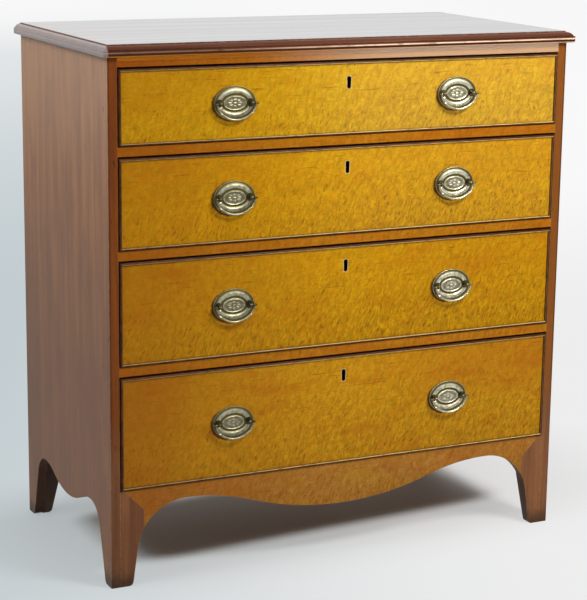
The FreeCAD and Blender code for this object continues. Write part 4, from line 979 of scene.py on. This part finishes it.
# %% [markdown]
# ## The bails
#
# A bail is a bent rod: two short quarter turns and a flat belly, thickest in the middle.
# Its ends have a ball, a small collar and a pointed tip outside the posts, and a thin pin
# that turns in each post's eye.  The rod is swept along the three arcs, and the ends are
# turned like pieces on a lathe: a profile spun about the hinge line.  The rod and its
# turned ends each get their own brass.

# %% Path and profile of a bail
BAIL_HALF = 38.6
BAIL_DROP = 30.0
BAIL_BELLY = 6.5
ROD_THIN = 1.9
ROD_THICK = 2.39
SWELL_START, SWELL_LENGTH = 0.25, 0.7
PIN_REACH = 11.0
END_BALL = 2.75
NEARLY_CLOSED = 0.02
END_PROFILE = (
    (-PIN_REACH, 0.0), (-PIN_REACH, 1.45), (-2.6, 1.45), (-2.5, 1.7), (-2.0, 2.25), (-1.1, 2.6),
    (0.0, END_BALL), (1.1, 2.6), (1.9, 2.1), (2.3, 1.75), (2.6, 2.05), (3.0, 2.05), (3.3, 1.65),
    (4.4, 1.25), (5.3, 0.85), (5.7, 0.45), (5.75, 0.0),
)


def bail_path(steps=16):
    """Points of the rod's centre line, in mm from the hinge's middle, each with its angle."""
    side = BAIL_DROP - BAIL_BELLY
    offset = BAIL_HALF - side
    lift = (offset ** 2 - BAIL_BELLY ** 2) / (2 * BAIL_BELLY)
    turn = math.atan2(offset, lift)
    arcs = ((-offset, 0.0, side, math.pi, 1.5 * math.pi - turn),
            (0.0, lift, lift + BAIL_DROP, 1.5 * math.pi - turn, 1.5 * math.pi + turn),
            (offset, 0.0, side, 1.5 * math.pi + turn, 2 * math.pi))
    path = []
    for x, z, radius, start, end in arcs:
        for step in range(steps + 1):
            angle = start + (end - start) * step / steps
            path.append((x + radius * math.cos(angle), z + radius * math.sin(angle), angle))
    return path


print(f"a bail hangs {BAIL_DROP} mm and is {2 * BAIL_HALF} mm between its balls")

# %% Shape one bail
def ring_of(draft, middle, across, radius, count=20):
    """A ring of points about a middle; across is the ring's own X direction, Y stays Y."""
    angles = [2 * math.pi * step / count for step in range(count)]
    return [draft.verts.new(middle + across * radius * math.cos(angle)
                            + Vector((0, 1, 0)) * radius * math.sin(angle)) for angle in angles]


def join_rings(draft, rings):
    """Faces between one ring and the next, with a lid at each end."""
    for first, second in zip(rings, rings[1:]):
        for step in range(len(first)):
            after = (step + 1) % len(first)
            draft.faces.new((first[step], first[after], second[after], second[step]))
    draft.faces.new(rings[0])
    draft.faces.new(rings[-1])


def bail_mesh():
    """The whole bail in metres, with the middle of its hinge line at the origin."""
    brass = bmesh.new()
    rod = []
    for x, z, angle in bail_path():
        depth = -z / BAIL_DROP
        swell = eased((depth - SWELL_START) / SWELL_LENGTH)
        radius = ROD_THIN + (ROD_THICK - ROD_THIN) * swell
        across = Vector((math.cos(angle), 0, math.sin(angle)))
        rod.append(ring_of(brass, Vector((x, 0, z)) * MM, across, radius * MM))
    join_rings(brass, rod)
    rod_faces = len(brass.faces)
    for arm in (-1, 1):
        turning = []
        for reach, radius in END_PROFILE:
            middle = Vector((arm * (BAIL_HALF + reach), 0, 0)) * MM
            radius = max(radius, NEARLY_CLOSED) * MM
            turning.append(ring_of(brass, middle, Vector((0, 0, 1)), radius))
        join_rings(brass, turning)
    bmesh.ops.recalc_face_normals(brass, faces=brass.faces)
    for number, face in enumerate(brass.faces):
        face.smooth = True
        face.material_index = 0 if number < rod_faces else 1
    return as_mesh("bail", brass)


# %% Hang the bails
for drawer in DRAWERS:
    for side in SIDES:
        name = f"drawer_{drawer}_bail_{side}"
        low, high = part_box(name)
        mesh = bail_mesh()
        hinge = low.z + (BAIL_DROP + ROD_THICK) * MM
        mesh.transform(Matrix.Translation(((low.x + high.x) / 2, (low.y + high.y) / 2, hinge)))
        mesh.materials.append(drawn_brass)
        mesh.materials.append(turned_brass)
        bail = new_object(name + "_rod", mesh)
        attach(bail, name)
        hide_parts(name)
print(f"{2 * len(DRAWERS)} bails, {len(mesh.polygons)} faces each")

# %% [markdown]
# ## Floor and light
#
# The floor is one pale sheet that curves up far behind the chest, so no corner shows.  It
# is a little cooler to the left and paler far off, and it stays plain.  To the camera and
# in reflections it glows with its own even tone, as a well lit studio floor does, and to
# every other ray it is a matt floor.  Close round the feet it is matt for all rays, so the
# chest's shadow stays, and in a core under the chest it is painted darker as shadow.  The
# glow fades in towards that core, which is painted light that sets where the shadow ends.
#
# A soft lamp on the right and above is the key, as a tall window would be, and a weaker
# one fills the left.  The world fills the shadows and is brighter overhead in reflections;
# and a wide, dim panel far behind lies where the polished top reflects it.

# %% Backdrop
RISE_START, RISE_RADIUS = 9.0, 3.0


def backdrop():
    """A floor with a curved rise behind, as one smooth strip."""
    strip = bmesh.new()
    turns = [turn * math.pi / 24 for turn in range(1, 13)]
    section = [(-40.0, 0.0), (RISE_START, 0.0)]
    section += [(RISE_START + RISE_RADIUS * math.sin(turn),
                 RISE_RADIUS - RISE_RADIUS * math.cos(turn)) for turn in turns]
    section += [(RISE_START + RISE_RADIUS, 2 * RISE_RADIUS)]
    rows = [[strip.verts.new((x, y, z)) for x in (-30.0, 30.0)] for y, z in section]
    for near, far in zip(rows, rows[1:]):
        strip.faces.new((near[0], near[1], far[1], far[0])).smooth = True
    return as_mesh("floor", strip)


floor = new_object("floor", backdrop())
print("the floor has", len(floor.data.polygons), "strips")

# %% Floor material
# The core is the skewed rectangle under the chest where the floor is painted darker as its shadow.
CORE_MIDDLE = (0.04, 0.050, 0.0)
CORE_HALF = (0.34, 0.110, 0.0)
CORE_TURN = math.radians(-5)


def reach_from_core(tree, place):
    """How far a point of the floor lies outside the rectangle under the chest."""
    skewed = add(tree, "VectorRotate", {"Vector": place, "Angle": CORE_TURN},
                 rotation_type="Z_AXIS").outputs[0]
    mirrored = combined(tree, "ABSOLUTE", combined(tree, "SUBTRACT", skewed, CORE_MIDDLE))
    beyond = combined(tree, "MAXIMUM", combined(tree, "SUBTRACT", mirrored, CORE_HALF))
    return combined(tree, "LENGTH", stretched(tree, beyond, (0.55, 1.0, 1.0)))


def pale_floor():
    """An even, pale tone that glows to the camera, round a matt core painted darker as shadow."""
    material, tree, shader, place = new_material("pale_floor")
    x, depth, _ = axes(tree, place)
    aslant = calculate(tree, "SUBTRACT", x, product(tree, depth, 0.45))
    fade = calculate(tree, "ADD", remap(tree, depth, 1.5, 9.5, 0.0, 0.5),
                     remap(tree, depth, 9.2, 10.4, 0.0, 0.5))
    pale = layered(
        tree, tone(237, 237, 237),
        (remap(tree, depth, 1.0, 3.6), tone(248, 248, 248)),
        (remap(tree, aslant, 0.62, -0.98), tone(194, 204, 208)),
        (fade, tone(249, 249, 249)),
        (remap(tree, combined(tree, "LENGTH", place), 8.0, 18.0), tone(245, 245, 245)),
    )
    reach = reach_from_core(tree, place)
    # Painted light: the glow fades in over two steps outside the core, setting where the chest's
    # shadow ends.
    outside = calculate(tree, "ADD", remap(tree, reach, 0.02, 0.08, 0.0, 0.5),
                        remap(tree, reach, 0.08, 0.36, 0.0, 0.5))
    ray = add(tree, "LightPath").outputs
    seen = calculate(tree, "MAXIMUM", ray["Is Glossy Ray"], ray["Is Transmission Ray"])
    seen = calculate(tree, "MAXIMUM", ray["Is Camera Ray"], seen)
    # Painted shadow: the floor's base colour is darker in the core.
    floor_with_painted_shadow = blended(tree, remap(tree, reach, 0.08, 0.0, 0.0, 0.85), pale, tone(144, 133, 124))
    fill(tree, shader.inputs, {"Base Color": floor_with_painted_shadow, "Roughness": 0.7})
    glow = add(tree, "Emission", {"Color": pale, "Strength": 1.0})
    surface = add(tree, "MixShader", {0: product(tree, seen, outside), 1: shader.outputs[0],
                                      2: glow.outputs[0]})
    fill(tree, tree.nodes["Material Output"].inputs, {0: surface.outputs[0]})
    return material


floor.data.materials.append(pale_floor())
print("the floor is matt within", CORE_HALF[0], "m of the chest's middle")

# %% Lamps and world
def panel_lamp(name, place, aim, size, watts):
    """A soft rectangular lamp that looks at a point and doesn't show itself."""
    lamp = new_object(name, bpy.data.lights.new(name, "AREA"))
    lamp.data.shape = "RECTANGLE"
    lamp.data.size, lamp.data.size_y = size
    lamp.data.energy = watts
    lamp.visible_camera = False
    lamp.location = place
    lamp.rotation_euler = (Vector(aim) - Vector(place)).to_track_quat("-Z", "Y").to_euler()


panel_lamp("key", (0.7, -1.5, 2.0), (0.0, -0.2, 0.5), (0.7, 0.5), 33)
panel_lamp("behind", (2.2, 5.0, 2.6), (0.0, 0.0, 1.0), (5.0, 2.4), 5)
panel_lamp("left_fill", (-1.7, -0.2, 2.0), (-0.48, 0.0, 0.6), (0.9, 0.9), 15)
WORLD_LIGHT, WORLD_SEEN = 0.38, 0.9
SKY_LOW, SKY_HIGH = 0.42, 1.6
world = bpy.data.worlds.new("room")
bpy.context.scene.world = world
world.use_nodes = True
room = world.node_tree
upward = axes(room, add(room, "TexCoord").outputs["Generated"])["Z"]
mirrored_sky = remap(room, upward, 0.05, 0.6, SKY_LOW, SKY_HIGH)
rays = add(room, "LightPath").outputs
shown = remap(room, rays["Is Camera Ray"], 0.0, 1.0, WORLD_LIGHT, WORLD_SEEN)
shown = remap(room, rays["Is Glossy Ray"], 0.0, 1.0, shown, mirrored_sky)
fill(room, room.nodes["Background"].inputs, {"Color": (1.0, 1.0, 1.0, 1.0), "Strength": shown})
print("three lamps and the world light the chest")
